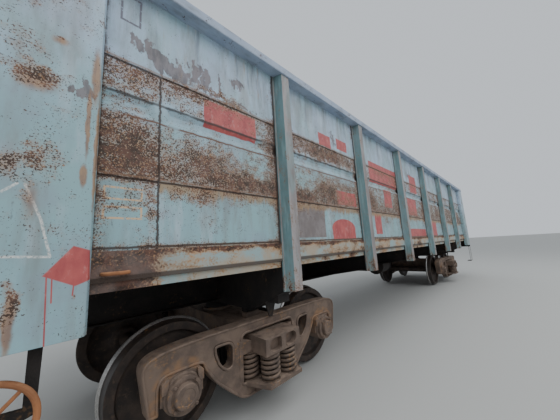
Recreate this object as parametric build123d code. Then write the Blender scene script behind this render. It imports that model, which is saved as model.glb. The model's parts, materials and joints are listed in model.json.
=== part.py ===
from build123d import *
import math
import os

# Open bogie wagon with drop floor hatches.
# Millimetres. +X along the wagon, +Y across it, +Z up. The origin is on the ground
# plane under the middle of the wagon, at the lowest point of the wheel flanges.
# Heights of the body and bogies are written above the rail head, which the wheel
# treads run on, and rail() turns them into the wagon's own frame.

# Wagon body, outside sizes
end_overhang = 2065.0
coupler_overhang = 570.0
body_width = 3134.0
body_top = 3490.0
floor_height = 1405.0
sheet_outer_width = 2892.0
sheet_thickness = 6.0

# Side wall: three lapped sheets, with long grooves pressed into the middle one
top_chord_height = 90.0
top_chord_round = 14.0
lower_chord_height = 176.0
lower_chord_leg = 90.0
chord_thickness = 10.0
lower_sheet_height = 630.0
middle_sheet_height = 788.0
lap_step = 5.0
lap_cover = 48.0
groove_rise = 434.0
groove_height = 129.0
groove_depth = 25.0
groove_slope = 45.0
groove_margin = 34.0
end_panel_length = 824.0

# Bar handles on the lower chords
handle_from_end = 602.0
handle_length = 146.0
handle_rise = 49.0
handle_reach = 46.0
handle_bar = 18.0

# Side posts, pressed hat sections
posts_per_side = 6
post_face_width = 114.0
post_root_width = 174.0
post_flange = 20.0
post_depth = 104.0
post_plate = 7.0
post_bottom = 1120.0

# Corner posts with their wide plates
corner_plate_width = 480.0
corner_plate_depth = 110.0
corner_plate_thickness = 8.0
corner_plate_bottom = 1170.0
corner_plate_round = 40.0
corner_plate_return = 170.0

# End wall
end_rib_depth = 70.0
end_rib_height = 150.0
end_rib_slope = 30.0
end_rib_count = 4
end_rib_rise = 235.0
end_rib_top_gap = 170.0
rung_length = 340.0
rung_reach = 55.0
rung_bar = 20.0
rung_from_side = 230.0

# Underframe
sill_web_gap = 330.0
sill_web = 12.0
sill_bottom = 916.0
sill_height = 310.0
sill_flange = 75.0
sill_flange_thickness = 16.0
ridge_width = 200.0
ridge_web = 12.0
ridge_flange = 12.0
beam_width = 190.0
cross_beam_plate = 10.0
cross_beam_foot = 140.0
body_bolster_bottom = 880.0
body_bolster_flat = 900.0
gusset_offset = 1112.0
gusset_thickness = 12.0
gusset_root = 95.0
gusset_drop = 295.0
gusset_tip_half = 20.0
end_beam_bottom = 1105.0
lever_bar = 12.0
lever_reach = 60.0
lever_rise = 85.0
lever_start = 330.0
lever_end = 1330.0
jack_pad_size = 160.0
jack_pad_height = 990.0
jack_pad_offset = 1250.0

# Floor hatches
hatch_end_gap = 10.0
hatch_plate = 6.0
hatch_depth = 55.0
hatch_ribs = 3
hatch_rib_width = 90.0
hatch_edge_bar = 60.0
hatch_edge_gap = 6.0
hatch_seat_gap = 0.3
hinge_offset = 118.0
hinge_drop = 34.0
hinge_pin_radius = 12.0
hinge_eye_radius = 20.0
hinge_eye_width = 30.0
hinge_ear_width = 12.0
hinge_root = 50.0
hinge_side_gap = 2.0
hinge_inset = 260.0
hinges_per_hatch = 2
pin_clearance = 0.3

# Wheels and axles
tread_radius = 475.0
flange_height = 28.0
flange_width = 33.0
wheel_back_gap = 1440.0
rim_width = 130.0
rim_thickness = 70.0
tread_taper = 5.0
rim_draft = 22.0
web_depth = 74.0
hub_radius = 130.0
hub_proud = 30.0
axle_radius = 84.0
journal_radius = 65.0
axle_length = 2200.0
wheel_sides = 24
hub_sides = 14

# Bogies
pivot_spacing = 8650.0
wheelbase = 1850.0
frame_spacing = 2036.0
frame_thickness = 144.0
frame_top = 840.0
frame_bottom = 160.0
frame_half_length = 1223.0
frame_pedestal_width = 330.0
frame_pedestal_top = 625.0
frame_jaw_bottom = 380.0
frame_rim = 20.0
frame_recess = 12.0
# crown over the axle as (distance past the axle, drop below the top)
frame_crown = [(-75, 15), (185, 35)]
# tip as (distance short of the frame's end, drop below the top)
frame_tip = [(30, 72), (0, 125)]
frame_tip_slope = 55.0
frame_jaw_slope = 20.0
frame_jaw_drop = 55.0
# keel as (distance outside the spring opening, height above the frame's bottom)
frame_keel = [(31, 22), (-49, 0)]
spring_opening = 690.0
spring_opening_top = 724.0
# outlines as (distance from the pivot, height above the rail head)
frame_arch = [(630, 409), (493, 285)]
frame_window = [(644, 717), (479, 713), (435, 663), (441, 485), (517, 460), (600, 531), (645, 649)]
bolster_pocket = [(30, 560), (150, 560), (185, 600), (185, 650), (150, 680), (30, 680)]
bolster_pocket_depth = 60.0
spring_seat = 300.0
spring_seat_thickness = 34.0
spring_seat_margin = 12.0
spring_radius = 100.0
spring_height = 240.0
spring_pitch = 228.0
spring_row_gap = 190.0
spring_coils = 4
spring_core = 80.0
spring_sides = 8
bolster_length = 2596.0
bolster_width = 470.0
bolster_end_height = 155.0
bolster_top = 770.0
bolster_belly = 380.0
bolster_belly_slope = 220.0
bolster_spring_margin = 20.0
bolster_frame_gap = 16.0
bolster_shoulder_slope = 60.0
wedge_top_gap = 10.0
wedge_slope = 40.0
wedge_inset = 10.0
bowl_radius = 150.0
bowl_wall = 30.0
bowl_height = 30.0
bowl_clearance = 0.3
bearer_offset = 762.0
bearer_width = 180.0
bearer_length = 90.0
bearer_height = 60.0
bearer_gap = 10.0
axlebox_radius = 150.0
axlebox_inner = 930.0
axlebox_length = 180.0
axlebox_cover_radius = 140.0
axlebox_cover_length = 40.0
axlebox_cap_radius = 105.0
axlebox_cap_length = 40.0
axlebox_sides = 12
saddle_skirt = 40.0
saddle_bevel = 30.0
saddle_lip = 6.0
journal_end_gap = 2.0
journal_clearance = 0.3

# Brakes
shoe_gap = 6.0
shoe_thickness = 55.0
shoe_width = 80.0
shoe_half_angle = 22.0
shoe_offset = 800.0
brake_beam_radius = 38.0
brake_beam_seat = 8.0
hanger_offset = 890.0
hanger_width = 24.0
hanger_top = 660.0
brake_cylinder_radius = 178.0
brake_cylinder_length = 460.0
reservoir_radius = 150.0
reservoir_length = 700.0
reservoir_gap = 20.0
brake_strap = 70.0
brake_rod_radius = 14.0
brake_gear_height = 940.0
brake_gear_gap = 10.0
brake_flange = 20.0
brake_rod_length = 2900.0
brake_rod_height = 888.0
brake_hanger_pitch = 1400.0
pipe_radius = 21.0
pipe_offset = 300.0
pipe_height = 847.0
pipe_clip = 14.0
drum_sides = 16
rod_sides = 8

# Couplers
coupler_height = 1060.0
coupler_head_height = 280.0
coupler_shank_height = 130.0
coupler_shank_width = 150.0
coupler_head_length = 430.0
coupler_shank_length = 500.0
coupler_neck_length = 60.0
coupler_side_room = 40.0
coupler_top_room = 30.0
# claw outline, as (distance before the coupling plane, distance across)
coupler_claw = [
    (-coupler_head_length, -75),
    (-340, -170),
    (-150, -215),
    (-20, -190),
    (0, -120),
    (-110, -85),
    (-170, -20),
    (-150, 60),
    (-60, 75),
    (60, 20),
    (105, 60),
    (70, 170),
    (-60, 235),
    (-300, 190),
    (-coupler_head_length, 75),
]
draft_gear_length = 600.0
draft_gear_height = 240.0

# Hand brake wheel and steps
handwheel_radius = 185.0
handwheel_bar = 14.0
handwheel_from_end = 155.0
handwheel_reach = 49.0
handwheel_height = 885.0
handwheel_shaft_radius = 16.0
handwheel_sides = 24
handwheel_hub_length = 40.0
hanger_plate_neck = 20.0
hanger_plate_from_end = 305.0
hanger_plate_width = 56.0
hanger_plate_thickness = 20.0
step_width = 360.0
step_from_end = 305.0
step_height = 560.0
step_bar = 16.0
step_reach = 110.0
step_strap = 8.0


def rail(height):
    """Height in the wagon's frame of a height above the rail head."""
    return height + flange_height


# Places that follow from the sizes above
bogie_x = pivot_spacing / 2
half_body = bogie_x + end_overhang
half_width = body_width / 2
sheet_outer = sheet_outer_width / 2
sheet_inner = sheet_outer - sheet_thickness
body_side = sheet_outer - lap_step
body_side_inner = body_side - sheet_thickness
upper_side = sheet_outer + lap_step
panel_joint = half_body - end_panel_length
post_pitch = pivot_spacing / (posts_per_side - 1)
post_outer = sheet_outer + post_depth
floor_top = rail(floor_height)
top_chord_bottom = rail(body_top) - top_chord_height
lower_chord_top = floor_top + lower_chord_height
lower_chord_outer = body_side + chord_thickness
sheet_bottom = floor_top + chord_thickness
end_sheet_outer = half_body - end_rib_depth
end_sheet_inner = end_sheet_outer - sheet_thickness
middle_sheet_bottom = floor_height + lower_sheet_height
upper_sheet_bottom = middle_sheet_bottom + middle_sheet_height
groove_bottom = middle_sheet_bottom + groove_rise
end_rib_first = floor_height + end_rib_rise
end_rib_room = body_top - top_chord_height - end_rib_top_gap - end_rib_height - end_rib_first
end_rib_pitch = end_rib_room / (end_rib_count - 1)
sill_top = rail(sill_bottom) + sill_height
sill_outer = sill_web_gap / 2 + sill_web
axle_z = tread_radius + flange_height
post_places = [(index - (posts_per_side - 1) / 2) * post_pitch for index in range(posts_per_side)]
cross_beam_places = post_places[1:-1]
hatch_count = posts_per_side + 1
hatch_places = [(index - (hatch_count - 1) / 2) * post_pitch for index in range(hatch_count)]
hatch_length = post_pitch - beam_width - 2 * hatch_end_gap
hatch_edge = body_side_inner - hatch_edge_gap
hinge_z = floor_top - hinge_drop
wheel_back = wheel_back_gap / 2
frame_centre = frame_spacing / 2
frame_inner = frame_centre - frame_thickness / 2
frame_outer = frame_centre + frame_thickness / 2
coupling_plane = half_body + coupler_overhang


def block(x_span, y_span, z_span):
    """Box between two places on each axis."""
    size = [span[1] - span[0] for span in (x_span, y_span, z_span)]
    middle = [(span[1] + span[0]) / 2 for span in (x_span, y_span, z_span)]
    return Pos(*middle) * Box(*size)


def outline_y(points, y):
    """Flat face at one place along Y with an outline of (x, z) points."""
    plane = Plane(origin=(0, y, 0), x_dir=(1, 0, 0), z_dir=(0, -1, 0))
    return plane * make_face(Polyline(*points, close=True))


def prism_x(points, x_start, x_end):
    """Solid along X with an outline of (y, z) points."""
    plane = Plane(origin=(x_start, 0, 0), x_dir=(0, 1, 0), z_dir=(1, 0, 0))
    return extrude(plane * make_face(Polyline(*points, close=True)), amount=x_end - x_start)


def prism_y(points, y_start, y_end):
    """Solid along Y with an outline of (x, z) points."""
    return extrude(outline_y(points, y_end), amount=y_end - y_start)


def prism_z(points, z_start, z_end):
    """Solid along Z with an outline of (x, y) points."""
    plane = Plane(origin=(0, 0, z_start), x_dir=(1, 0, 0), z_dir=(0, 0, 1))
    return extrude(plane * make_face(Polyline(*points, close=True)), amount=z_end - z_start)


def rod_x(radius, x_start, x_end, y, z):
    """Round bar along X."""
    return Pos((x_start + x_end) / 2, y, z) * Rot(0, 90, 0) * Cylinder(radius, x_end - x_start)


def rod_y(radius, x, y_start, y_end, z):
    """Round bar along Y."""
    return Pos(x, (y_start + y_end) / 2, z) * Rot(90, 0, 0) * Cylinder(radius, y_end - y_start)


def rod_z(radius, x, y, z_start, z_end):
    """Round bar along Z."""
    return Pos(x, y, (z_start + z_end) / 2) * Cylinder(radius, z_end - z_start)


def stack(rings):
    """Solid with flat faces through successive rings of points, closed at both ends."""
    outlines = [rings[0], rings[-1]]
    for low, high in zip(rings, rings[1:]):
        for index in range(len(low)):
            outlines.append([low[index - 1], low[index], high[index], high[index - 1]])
    faces = [Face(Wire.make_polygon(points, close=True)) for points in outlines]
    return Solid(Shell(faces))


def drum(rows, sides):
    """Many-sided turned form along Z from rows of (distance along, radius of its flats)."""
    angles = [2 * math.pi * (index + 0.5) / sides for index in range(sides)]
    rings = []
    for distance, flat_radius in rows:
        corner = flat_radius / math.cos(math.pi / sides)
        rings.append([(corner * math.cos(a), corner * math.sin(a), distance) for a in angles])
    return stack(rings)


def drum_x(rows, y, z, sides):
    """Many-sided turned form whose centre line runs along X."""
    return Pos(0, y, z) * Rot(0, 90, 0) * drum(rows, sides)


def drum_y(rows, x, z, sides):
    """Many-sided turned form whose centre line runs along Y."""
    return Pos(x, 0, z) * Rot(-90, 0, 0) * drum(rows, sides)


def across(shape):
    """The same piece on the other side of the wagon."""
    return mirror(shape, about=Plane.XZ)


def along(shape):
    """The same piece at the other end of the wagon."""
    return mirror(shape, about=Plane.YZ)


nodes = {}


def keep(name, *shapes):
    """Store the solids of one node."""
    solids = []
    for shape in shapes:
        solids.extend(shape.solids())
    nodes[name] = solids


# Side walls

def groove(x_start, x_end):
    """Room of one groove in the far wall, narrowing inwards on all four sides."""
    rings = []
    for inset, y in ((0, sheet_outer), (groove_slope, sheet_outer - groove_depth)):
        low = rail(groove_bottom) + inset
        high = rail(groove_bottom) + groove_height - inset
        corners = [(x_start + inset, low), (x_end - inset, low), (x_end - inset, high), (x_start + inset, high)]
        rings.append([(x, y, z) for x, z in corners])
    return stack(rings)


first_lap = rail(middle_sheet_bottom)
second_lap = rail(upper_sheet_bottom)
upper_side_inner = upper_side - sheet_thickness
# stepped outer and inner faces of the far wall, as (y, z) from the floor up
outer_steps = [
    (body_side, sheet_bottom),
    (body_side, first_lap),
    (sheet_outer, first_lap),
    (sheet_outer, second_lap),
    (upper_side, second_lap),
    (upper_side, top_chord_bottom),
]
inner_steps = [
    (body_side_inner, sheet_bottom),
    (body_side_inner, first_lap + lap_cover),
    (sheet_inner, first_lap + lap_cover),
    (sheet_inner, second_lap + lap_cover),
    (upper_side_inner, second_lap + lap_cover),
    (upper_side_inner, top_chord_bottom),
]


def side_sheet():
    """Far side wall: three lapped sheets, the middle one with a long groove in each panel."""
    wall = prism_x(outer_steps + inner_steps[::-1], -end_sheet_outer, end_sheet_outer)
    main_end = panel_joint - groove_margin
    end_panel = groove(panel_joint + groove_margin, end_sheet_inner - groove_margin)
    for press in (groove(-main_end, main_end), end_panel, along(end_panel)):
        wall += Pos(0, -sheet_thickness, 0) * press
        wall -= press
    return wall


def inside_wall():
    """Room behind the outer face of the far wall, which the posts stay out of."""
    outline = [(0, sheet_bottom), *outer_steps, (0, top_chord_bottom)]
    return prism_x(outline, -end_sheet_outer, end_sheet_outer)


def top_chord():
    """Far top chord: a closed section with its outer top edge rounded."""
    outline = [
        (sheet_inner, top_chord_bottom),
        (half_width, top_chord_bottom),
        (half_width, rail(body_top)),
        (sheet_inner, rail(body_top)),
    ]
    chord = prism_x(outline, -half_body, half_body)
    upper_edge = chord.edges().filter_by(Axis.X).sort_by(Axis.Z)[-2:].sort_by(Axis.Y)[-1]
    return fillet(upper_edge, top_chord_round)


def chord_handle():
    """Bar handle on the far lower chord near the +X end."""
    middle = half_body - handle_from_end
    start = middle - handle_length / 2
    end = middle + handle_length / 2
    bar = handle_bar
    outer = lower_chord_outer + handle_reach
    outline = [
        (start, lower_chord_outer),
        (start + bar, lower_chord_outer),
        (start + bar, outer - bar),
        (end - bar, outer - bar),
        (end - bar, lower_chord_outer),
        (end, lower_chord_outer),
        (end, outer - bar),
        (end - bar, outer),
        (start + bar, outer),
        (start, outer - bar),
    ]
    middle = floor_top + handle_rise
    return prism_z(outline, middle - bar / 2, middle + bar / 2)


def lower_chord():
    """Far lower chord: an angle whose level leg carries the sheet and stops the hatches."""
    leg_end = body_side_inner - lower_chord_leg
    outline = [
        (leg_end, floor_top),
        (lower_chord_outer, floor_top),
        (lower_chord_outer, lower_chord_top),
        (body_side, lower_chord_top),
        (body_side, sheet_bottom),
        (leg_end, sheet_bottom),
    ]
    return prism_x(outline, -end_sheet_outer, end_sheet_outer)


def side_post(x):
    """One far side post, an open hat section from its foot up to the top chord."""
    face = post_face_width / 2
    root = post_root_width / 2
    foot = root + post_flange
    inner_face = face - post_plate
    flange_face = upper_side + post_plate
    outline = [
        (x - foot, body_side),
        (x - root + post_plate, body_side),
        (x - inner_face, post_outer - post_plate),
        (x + inner_face, post_outer - post_plate),
        (x + root - post_plate, body_side),
        (x + foot, body_side),
        (x + foot, flange_face),
        (x + root, flange_face),
        (x + face, post_outer),
        (x - face, post_outer),
        (x - root, flange_face),
        (x - foot, flange_face),
    ]
    return prism_z(outline, rail(post_bottom), top_chord_bottom)


def corner_post():
    """Far corner post at the +X end, a bent plate round the corner of the body."""
    start = half_body - corner_plate_width
    out = sheet_outer + corner_plate_depth
    thick = corner_plate_thickness
    bend = corner_plate_round
    outline = [
        (start, body_side),
        (start, out - bend),
        (start + bend * 0.3, out - bend * 0.3),
        (start + bend, out),
        (half_body, out),
        (half_body, out - corner_plate_return),
        (half_body - thick, out - corner_plate_return),
        (half_body - thick, out - thick),
        (start + bend, out - thick),
        (start + bend * 0.3 + thick * 0.7, out - bend * 0.3 - thick * 0.7),
        (start + thick, out - bend),
        (start + thick, body_side),
    ]
    return prism_z(outline, rail(corner_plate_bottom), top_chord_bottom)


sheet = side_sheet()
chord_low = lower_chord()
chord_handles = chord_handle() + along(chord_handle())
chord_high = top_chord()
wall_room = inside_wall()
posts = [side_post(x) - wall_room - chord_low for x in post_places]
corner = corner_post() - wall_room - chord_low

keep("side_wall_far", sheet)
keep("side_wall_near", across(sheet))
keep("top_chord_far", chord_high)
keep("top_chord_near", across(chord_high))
keep("lower_chord_far", chord_low + chord_handles)
keep("lower_chord_near", across(chord_low + chord_handles))
keep("side_posts_far", *posts)
keep("side_posts_near", *[across(post) for post in posts])
keep("corner_posts", corner, across(corner), along(corner), along(across(corner)))


# End walls

def end_rung(height):
    """Ladder rung on the near side of the +X end wall, bent from square bar."""
    start = rung_from_side - sheet_inner
    end = start + rung_length
    bar = rung_bar
    outer = half_body + rung_reach
    outline = [
        (half_body, start),
        (outer, start),
        (outer, end),
        (half_body, end),
        (half_body, end - bar),
        (outer - bar, end - bar),
        (outer - bar, start + bar),
        (half_body, start + bar),
    ]
    return prism_z(outline, height - bar / 2, height + bar / 2)


def end_wall():
    """Blind end wall at +X: a sheet stiffened by level pressed ribs, with rungs on them."""
    far_edge = [(body_side_inner, floor_top), *inner_steps]
    near_edge = [(-y, z) for y, z in reversed(far_edge)]
    wall = prism_x(far_edge + near_edge, end_sheet_inner, end_sheet_outer)
    rib_side = sheet_inner - corner_plate_return
    for index in range(end_rib_count):
        low = rail(end_rib_first) + index * end_rib_pitch
        high = low + end_rib_height
        outline = [
            (end_sheet_outer, low),
            (half_body, low + end_rib_slope),
            (half_body, high - end_rib_slope),
            (end_sheet_outer, high),
        ]
        wall += prism_y(outline, -rib_side, rib_side)
        wall += end_rung((low + high) / 2)
    return wall


def end_chord():
    """Top chord across the +X end."""
    return block((end_sheet_inner, half_body), (-sheet_inner, sheet_inner), (top_chord_bottom, rail(body_top)))


wall = end_wall() - chord_low - across(chord_low)
keep("end_wall_right", wall)
keep("end_wall_left", Rot(0, 0, 180) * wall)
keep("end_chords", end_chord(), along(end_chord()))


# Underframe

def centre_sill():
    """Two pressed sections joined at the top, with the ridge beam that carries the hatches."""
    low = rail(sill_bottom)
    outer = sill_outer
    inner = sill_web_gap / 2
    toe = outer + sill_flange
    thick = sill_flange_thickness
    half_ridge = ridge_width / 2
    half_web = ridge_web / 2
    side = [
        (inner, low),
        (toe, low),
        (toe, low + thick),
        (outer, low + thick),
        (outer, sill_top),
        (half_web, sill_top),
        (half_web, floor_top - ridge_flange),
        (half_ridge, floor_top - ridge_flange),
        (half_ridge, floor_top),
    ]
    other = [(-y, z) for y, z in reversed(side)]
    under = [(-inner, sill_top - thick), (inner, sill_top - thick)]
    return prism_x(side + other + under, -end_sheet_outer, end_sheet_outer)


def cross_beam(x):
    """Far half of a cross beam: two flanges, a web and the end plate that takes the post's foot."""
    half_flange = beam_width / 2
    plate = cross_beam_plate
    low = rail(sill_bottom) + sill_flange_thickness
    foot = rail(post_bottom)
    end = body_side
    foot_start = end - cross_beam_foot
    web_line = [
        (0, low),
        (sill_outer, low),
        (foot_start, foot),
        (end, foot),
        (end, floor_top),
        (0, floor_top),
    ]
    flange_line = [
        (0, low),
        (sill_outer, low),
        (foot_start, foot),
        (end, foot),
        (end, foot + plate),
        (foot_start, foot + plate),
        (sill_outer, low + plate),
        (0, low + plate),
    ]
    beam = prism_x(web_line, x - plate / 2, x + plate / 2)
    beam += prism_x(flange_line, x - half_flange, x + half_flange)
    beam += block((x - half_flange, x + half_flange), (0, end), (floor_top - plate, floor_top))
    root = post_root_width / 2 + post_flange
    beam += block((x - root, x + root), (end - plate, end), (foot, floor_top))
    return beam


def bolster_gusset(x, side):
    """Pointed plate hung from a body bolster, just outside the bogie's side frame."""
    outline = [
        (x - gusset_tip_half, rail(post_bottom - gusset_drop)),
        (x + gusset_tip_half, rail(post_bottom - gusset_drop)),
        (x + beam_width / 2, rail(post_bottom - gusset_root)),
        (x - beam_width / 2, rail(post_bottom - gusset_root)),
    ]
    y_start, y_end = sorted((side * gusset_offset, side * (gusset_offset + gusset_thickness)))
    return prism_y(outline, y_start, y_end)


def body_bolster(x):
    """Box beam over a bogie, full width, with its centre plate, side bearers and jacking pads."""
    low = rail(body_bolster_bottom)
    end_low = rail(post_bottom)
    end = body_side
    outline = [
        (-end, end_low),
        (-body_bolster_flat, low),
        (body_bolster_flat, low),
        (end, end_low),
        (end, floor_top),
        (-end, floor_top),
    ]
    beam = prism_x(outline, x - beam_width / 2, x + beam_width / 2)
    plate_bottom = rail(bolster_top) + bowl_clearance
    beam += rod_z(bowl_radius, x, 0, plate_bottom, low)
    for side in (-1, 1):
        y = side * bearer_offset
        bearer_bottom = rail(bolster_top) + bearer_height + bearer_gap
        half = bearer_length / 2
        beam += block((x - bearer_width / 2, x + bearer_width / 2), (y - half, y + half), (bearer_bottom, low))
        pad = side * jack_pad_offset
        half = jack_pad_size / 2
        beam += block((x - half, x + half), (pad - half, pad + half), (rail(jack_pad_height), rail(post_bottom)))
        beam += bolster_gusset(x, side)
    return beam


def end_beam():
    """Beam across the +X end, open in the middle for the coupler, with the uncoupling lever."""
    outer_y = sheet_outer + corner_plate_depth - corner_plate_thickness
    face = half_body - corner_plate_thickness
    beam = block((end_sheet_outer, face), (-outer_y, outer_y), (rail(end_beam_bottom), floor_top))
    throat = coupler_shank_width / 2 + coupler_side_room
    low = rail(end_beam_bottom) - 1
    high = rail(coupler_height) + coupler_shank_height / 2 + coupler_top_room
    beam -= block((end_sheet_outer - 1, half_body), (-throat, throat), (low, high))
    middle = rail(end_beam_bottom + lever_rise)
    half = 2 * lever_bar
    lever = drum_y([(-lever_end, lever_bar), (-lever_start, lever_bar)], face + lever_reach, middle, rod_sides)
    for y in (-lever_start - half, -lever_end + half):
        y_span = (y - lever_bar, y + lever_bar)
        lever += block((face, face + lever_reach + half), y_span, (middle - half, middle + half))
    return beam + lever


def end_floor():
    """Fixed floor sheet between the last hatch and the +X end wall."""
    start = hatch_places[-1] + post_pitch / 2 - beam_width / 2
    side = body_side_inner - lower_chord_leg
    return block((start, end_sheet_inner), (-side, side), (floor_top, floor_top + sheet_thickness))


sill = centre_sill()
sill_envelope = block(
    (-end_sheet_outer, end_sheet_outer),
    (-sill_web_gap / 2, sill_web_gap / 2),
    (rail(sill_bottom), sill_top),
)
far_beams = [cross_beam(x) - sill - sill_envelope for x in cross_beam_places]
bolsters = [body_bolster(x) - sill - sill_envelope for x in (-bogie_x, bogie_x)]
end_piece = end_beam()
keep("centre_sill", sill)
keep("cross_beams", *far_beams, *[across(beam) for beam in far_beams])
keep("body_bolsters", *bolsters)
keep("end_beams", end_piece, Rot(0, 0, 180) * end_piece)
keep("end_floors", end_floor(), along(end_floor()))


# Floor hatches and their hinges

def hinge_places(x):
    """Middle of each hinge of the hatch whose centre is x."""
    spread = hatch_length - 2 * hinge_inset
    step = spread / (hinges_per_hatch - 1)
    return [x - spread / 2 + index * step for index in range(hinges_per_hatch)]


def hatch_frame(x, inner):
    """Outline of the ribs and the edge bar under a far hatch, drawn as one comb."""
    start = x - hatch_length / 2
    gap = (hatch_length - hatch_ribs * hatch_rib_width) / (hatch_ribs - 1)
    edge = hatch_edge - hatch_edge_bar
    points = [(start, hatch_edge)]
    for index in range(hatch_ribs):
        left = start + index * (hatch_rib_width + gap)
        right = left + hatch_rib_width
        if index > 0:
            points.append((left, edge))
        points.append((left, inner))
        points.append((right, inner))
        if index < hatch_ribs - 1:
            points.append((right, edge))
    points.append((x + hatch_length / 2, hatch_edge))
    return points


def hatch(x):
    """Far hatch cover: a plate with a comb of ribs under it and its hinge eyes."""
    x_start = x - hatch_length / 2
    x_end = x + hatch_length / 2
    plate_top = floor_top - hatch_seat_gap
    plate_low = plate_top - hatch_plate
    eye = hinge_eye_radius
    inner = hinge_offset - 8
    rib_start = hinge_offset + 2 * eye
    cover = block((x_start, x_end), (inner, hatch_edge), (plate_low, plate_top))
    cover += prism_z(hatch_frame(x, rib_start), plate_top - hatch_depth, plate_low)
    lug = [
        (hinge_offset - eye * 0.9, plate_low),
        (hinge_offset - eye * 0.9, hinge_z - eye * 0.5),
        (hinge_offset, hinge_z - eye),
        (hinge_offset + eye, hinge_z - eye * 0.5),
        (rib_start + eye, plate_low),
    ]
    hole = hinge_pin_radius + pin_clearance
    for middle in hinge_places(x):
        half = hinge_eye_width / 2
        bore = drum_x([(middle - half, hole), (middle + half, hole)], hinge_offset, hinge_z, rod_sides)
        cover += prism_x(lug, middle - half, middle + half) - bore
    return cover


def hinge_bracket(x):
    """Far hinge bracket: two ears on the sill with the pin fixed between them."""
    inner = hinge_eye_width / 2 + hinge_side_gap
    outer = inner + hinge_ear_width
    reach = hinge_eye_radius * 0.8
    outline = [
        (hinge_offset - hinge_root, sill_top),
        (sill_outer, sill_top),
        (hinge_offset + reach, hinge_z + reach * 0.6),
        (hinge_offset - reach, hinge_z + reach),
    ]
    bracket = prism_x(outline, x - outer, x - inner)
    bracket += prism_x(outline, x + inner, x + outer)
    # an eight-sided pin turned so that its corners, not its flats, face those of the bore
    corners = [math.radians(360 * index / rod_sides) for index in range(rod_sides)]
    points = [(hinge_offset + hinge_pin_radius * math.cos(a), hinge_z + hinge_pin_radius * math.sin(a)) for a in corners]
    return [*bracket.solids(), prism_x(points, x - inner, x + inner)]


brackets = []
for number, x in enumerate(hatch_places, start=1):
    cover = hatch(x)
    keep(f"hatch_far_{number}", cover)
    keep(f"hatch_near_{number}", across(cover))
    for place in hinge_places(x):
        for piece in hinge_bracket(place):
            brackets.append(piece)
            brackets.append(across(piece))
keep("hatch_brackets", *brackets)


# Wheels and axles

def wheel():
    """Far wheel about the Y axis: rim with its flange, sunk web and hub."""
    back = wheel_back
    front = back + rim_width
    hub_end = front + hub_proud
    rim_inner = tread_radius - rim_thickness
    web_edge = rim_inner - rim_draft
    web_front = back + web_depth
    flange_radius = tread_radius + flange_height
    rim = [
        (back, flange_radius),
        (back + flange_width * 0.6, flange_radius),
        (back + flange_width, tread_radius),
        (front, tread_radius - tread_taper),
    ]
    disc = drum(rim, wheel_sides)
    disc -= drum([(web_front, web_edge), (front, rim_inner)], wheel_sides)
    disc += drum([(back, hub_radius), (hub_end, hub_radius)], hub_sides)
    disc -= drum([(back, axle_radius), (hub_end, axle_radius)], hub_sides)
    return Rot(-90, 0, 0) * disc


def axle(x):
    """One axle: its body through both wheels, and the journals."""
    body_end = wheel_back + rim_width + hub_proud
    bar = drum_y([(-body_end, axle_radius), (body_end, axle_radius)], x, axle_z, hub_sides)
    for side in (-1, 1):
        y_start, y_end = sorted((side * body_end, side * axle_length / 2))
        bar += rod_y(journal_radius, x, y_start, y_end, axle_z)
    return bar


# Bogies

def side_frame(x):
    """Far cast side frame of the bogie at x, with its pedestals, windows, rims and spring seat."""
    half_wheelbase = wheelbase / 2
    jaw_inner = half_wheelbase - frame_pedestal_width / 2
    jaw_outer = half_wheelbase + frame_pedestal_width / 2
    # one half of the outline, as (distance from the pivot, height above the rail head)
    half_outline = [
        (0, frame_top),
        *[(half_wheelbase + past, frame_top - drop) for past, drop in frame_crown],
        *[(frame_half_length - short, frame_top - drop) for short, drop in frame_tip],
        (frame_half_length - frame_tip_slope, frame_jaw_bottom),
        (jaw_outer, frame_jaw_bottom),
        (jaw_outer, frame_pedestal_top),
        (jaw_inner, frame_pedestal_top),
        (jaw_inner - frame_jaw_slope, frame_pedestal_top - frame_jaw_drop),
        *frame_arch,
        *[(spring_opening / 2 + past, frame_bottom + rise) for past, rise in frame_keel],
    ]
    right = [(x + u, rail(height)) for u, height in half_outline]
    left = [(x - u, rail(height)) for u, height in reversed(half_outline[1:])]
    windows = [[(x + side * u, rail(height)) for u, height in frame_window] for side in (-1, 1)]
    half_opening = spring_opening / 2
    opening = block(
        (x - half_opening, x + half_opening),
        (frame_inner - 1, frame_outer + 1),
        (rail(spring_seat), rail(spring_opening_top)),
    )
    frame = prism_y(right + left, frame_inner, frame_outer)
    recess = offset(outline_y(right + left, frame_outer), amount=-frame_rim, kind=Kind.INTERSECTION)
    for points in windows:
        frame -= prism_y(points, frame_inner - 1, frame_outer + 1)
        recess -= offset(outline_y(points, frame_outer), amount=frame_rim, kind=Kind.INTERSECTION)
    around = half_opening + frame_rim
    recess -= outline_y(
        [
            (x - around, rail(spring_seat) - frame_rim),
            (x + around, rail(spring_seat) - frame_rim),
            (x + around, rail(spring_opening_top) + frame_rim),
            (x - around, rail(spring_opening_top) + frame_rim),
        ],
        frame_outer,
    )
    frame -= extrude(recess, amount=frame_recess, dir=(0, -1, 0))
    frame -= opening
    reach = spring_row_gap + spring_radius + spring_seat_margin
    seat_half = spring_pitch / 2 + spring_radius
    seat = [
        (x - half_opening, frame_centre),
        (x - seat_half, frame_centre + reach),
        (x + seat_half, frame_centre + reach),
        (x + half_opening, frame_centre),
        (x + seat_half, frame_centre - reach),
        (x - seat_half, frame_centre - reach),
    ]
    frame += prism_z(seat, rail(spring_seat) - spring_seat_thickness, rail(spring_seat))
    return frame


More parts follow.
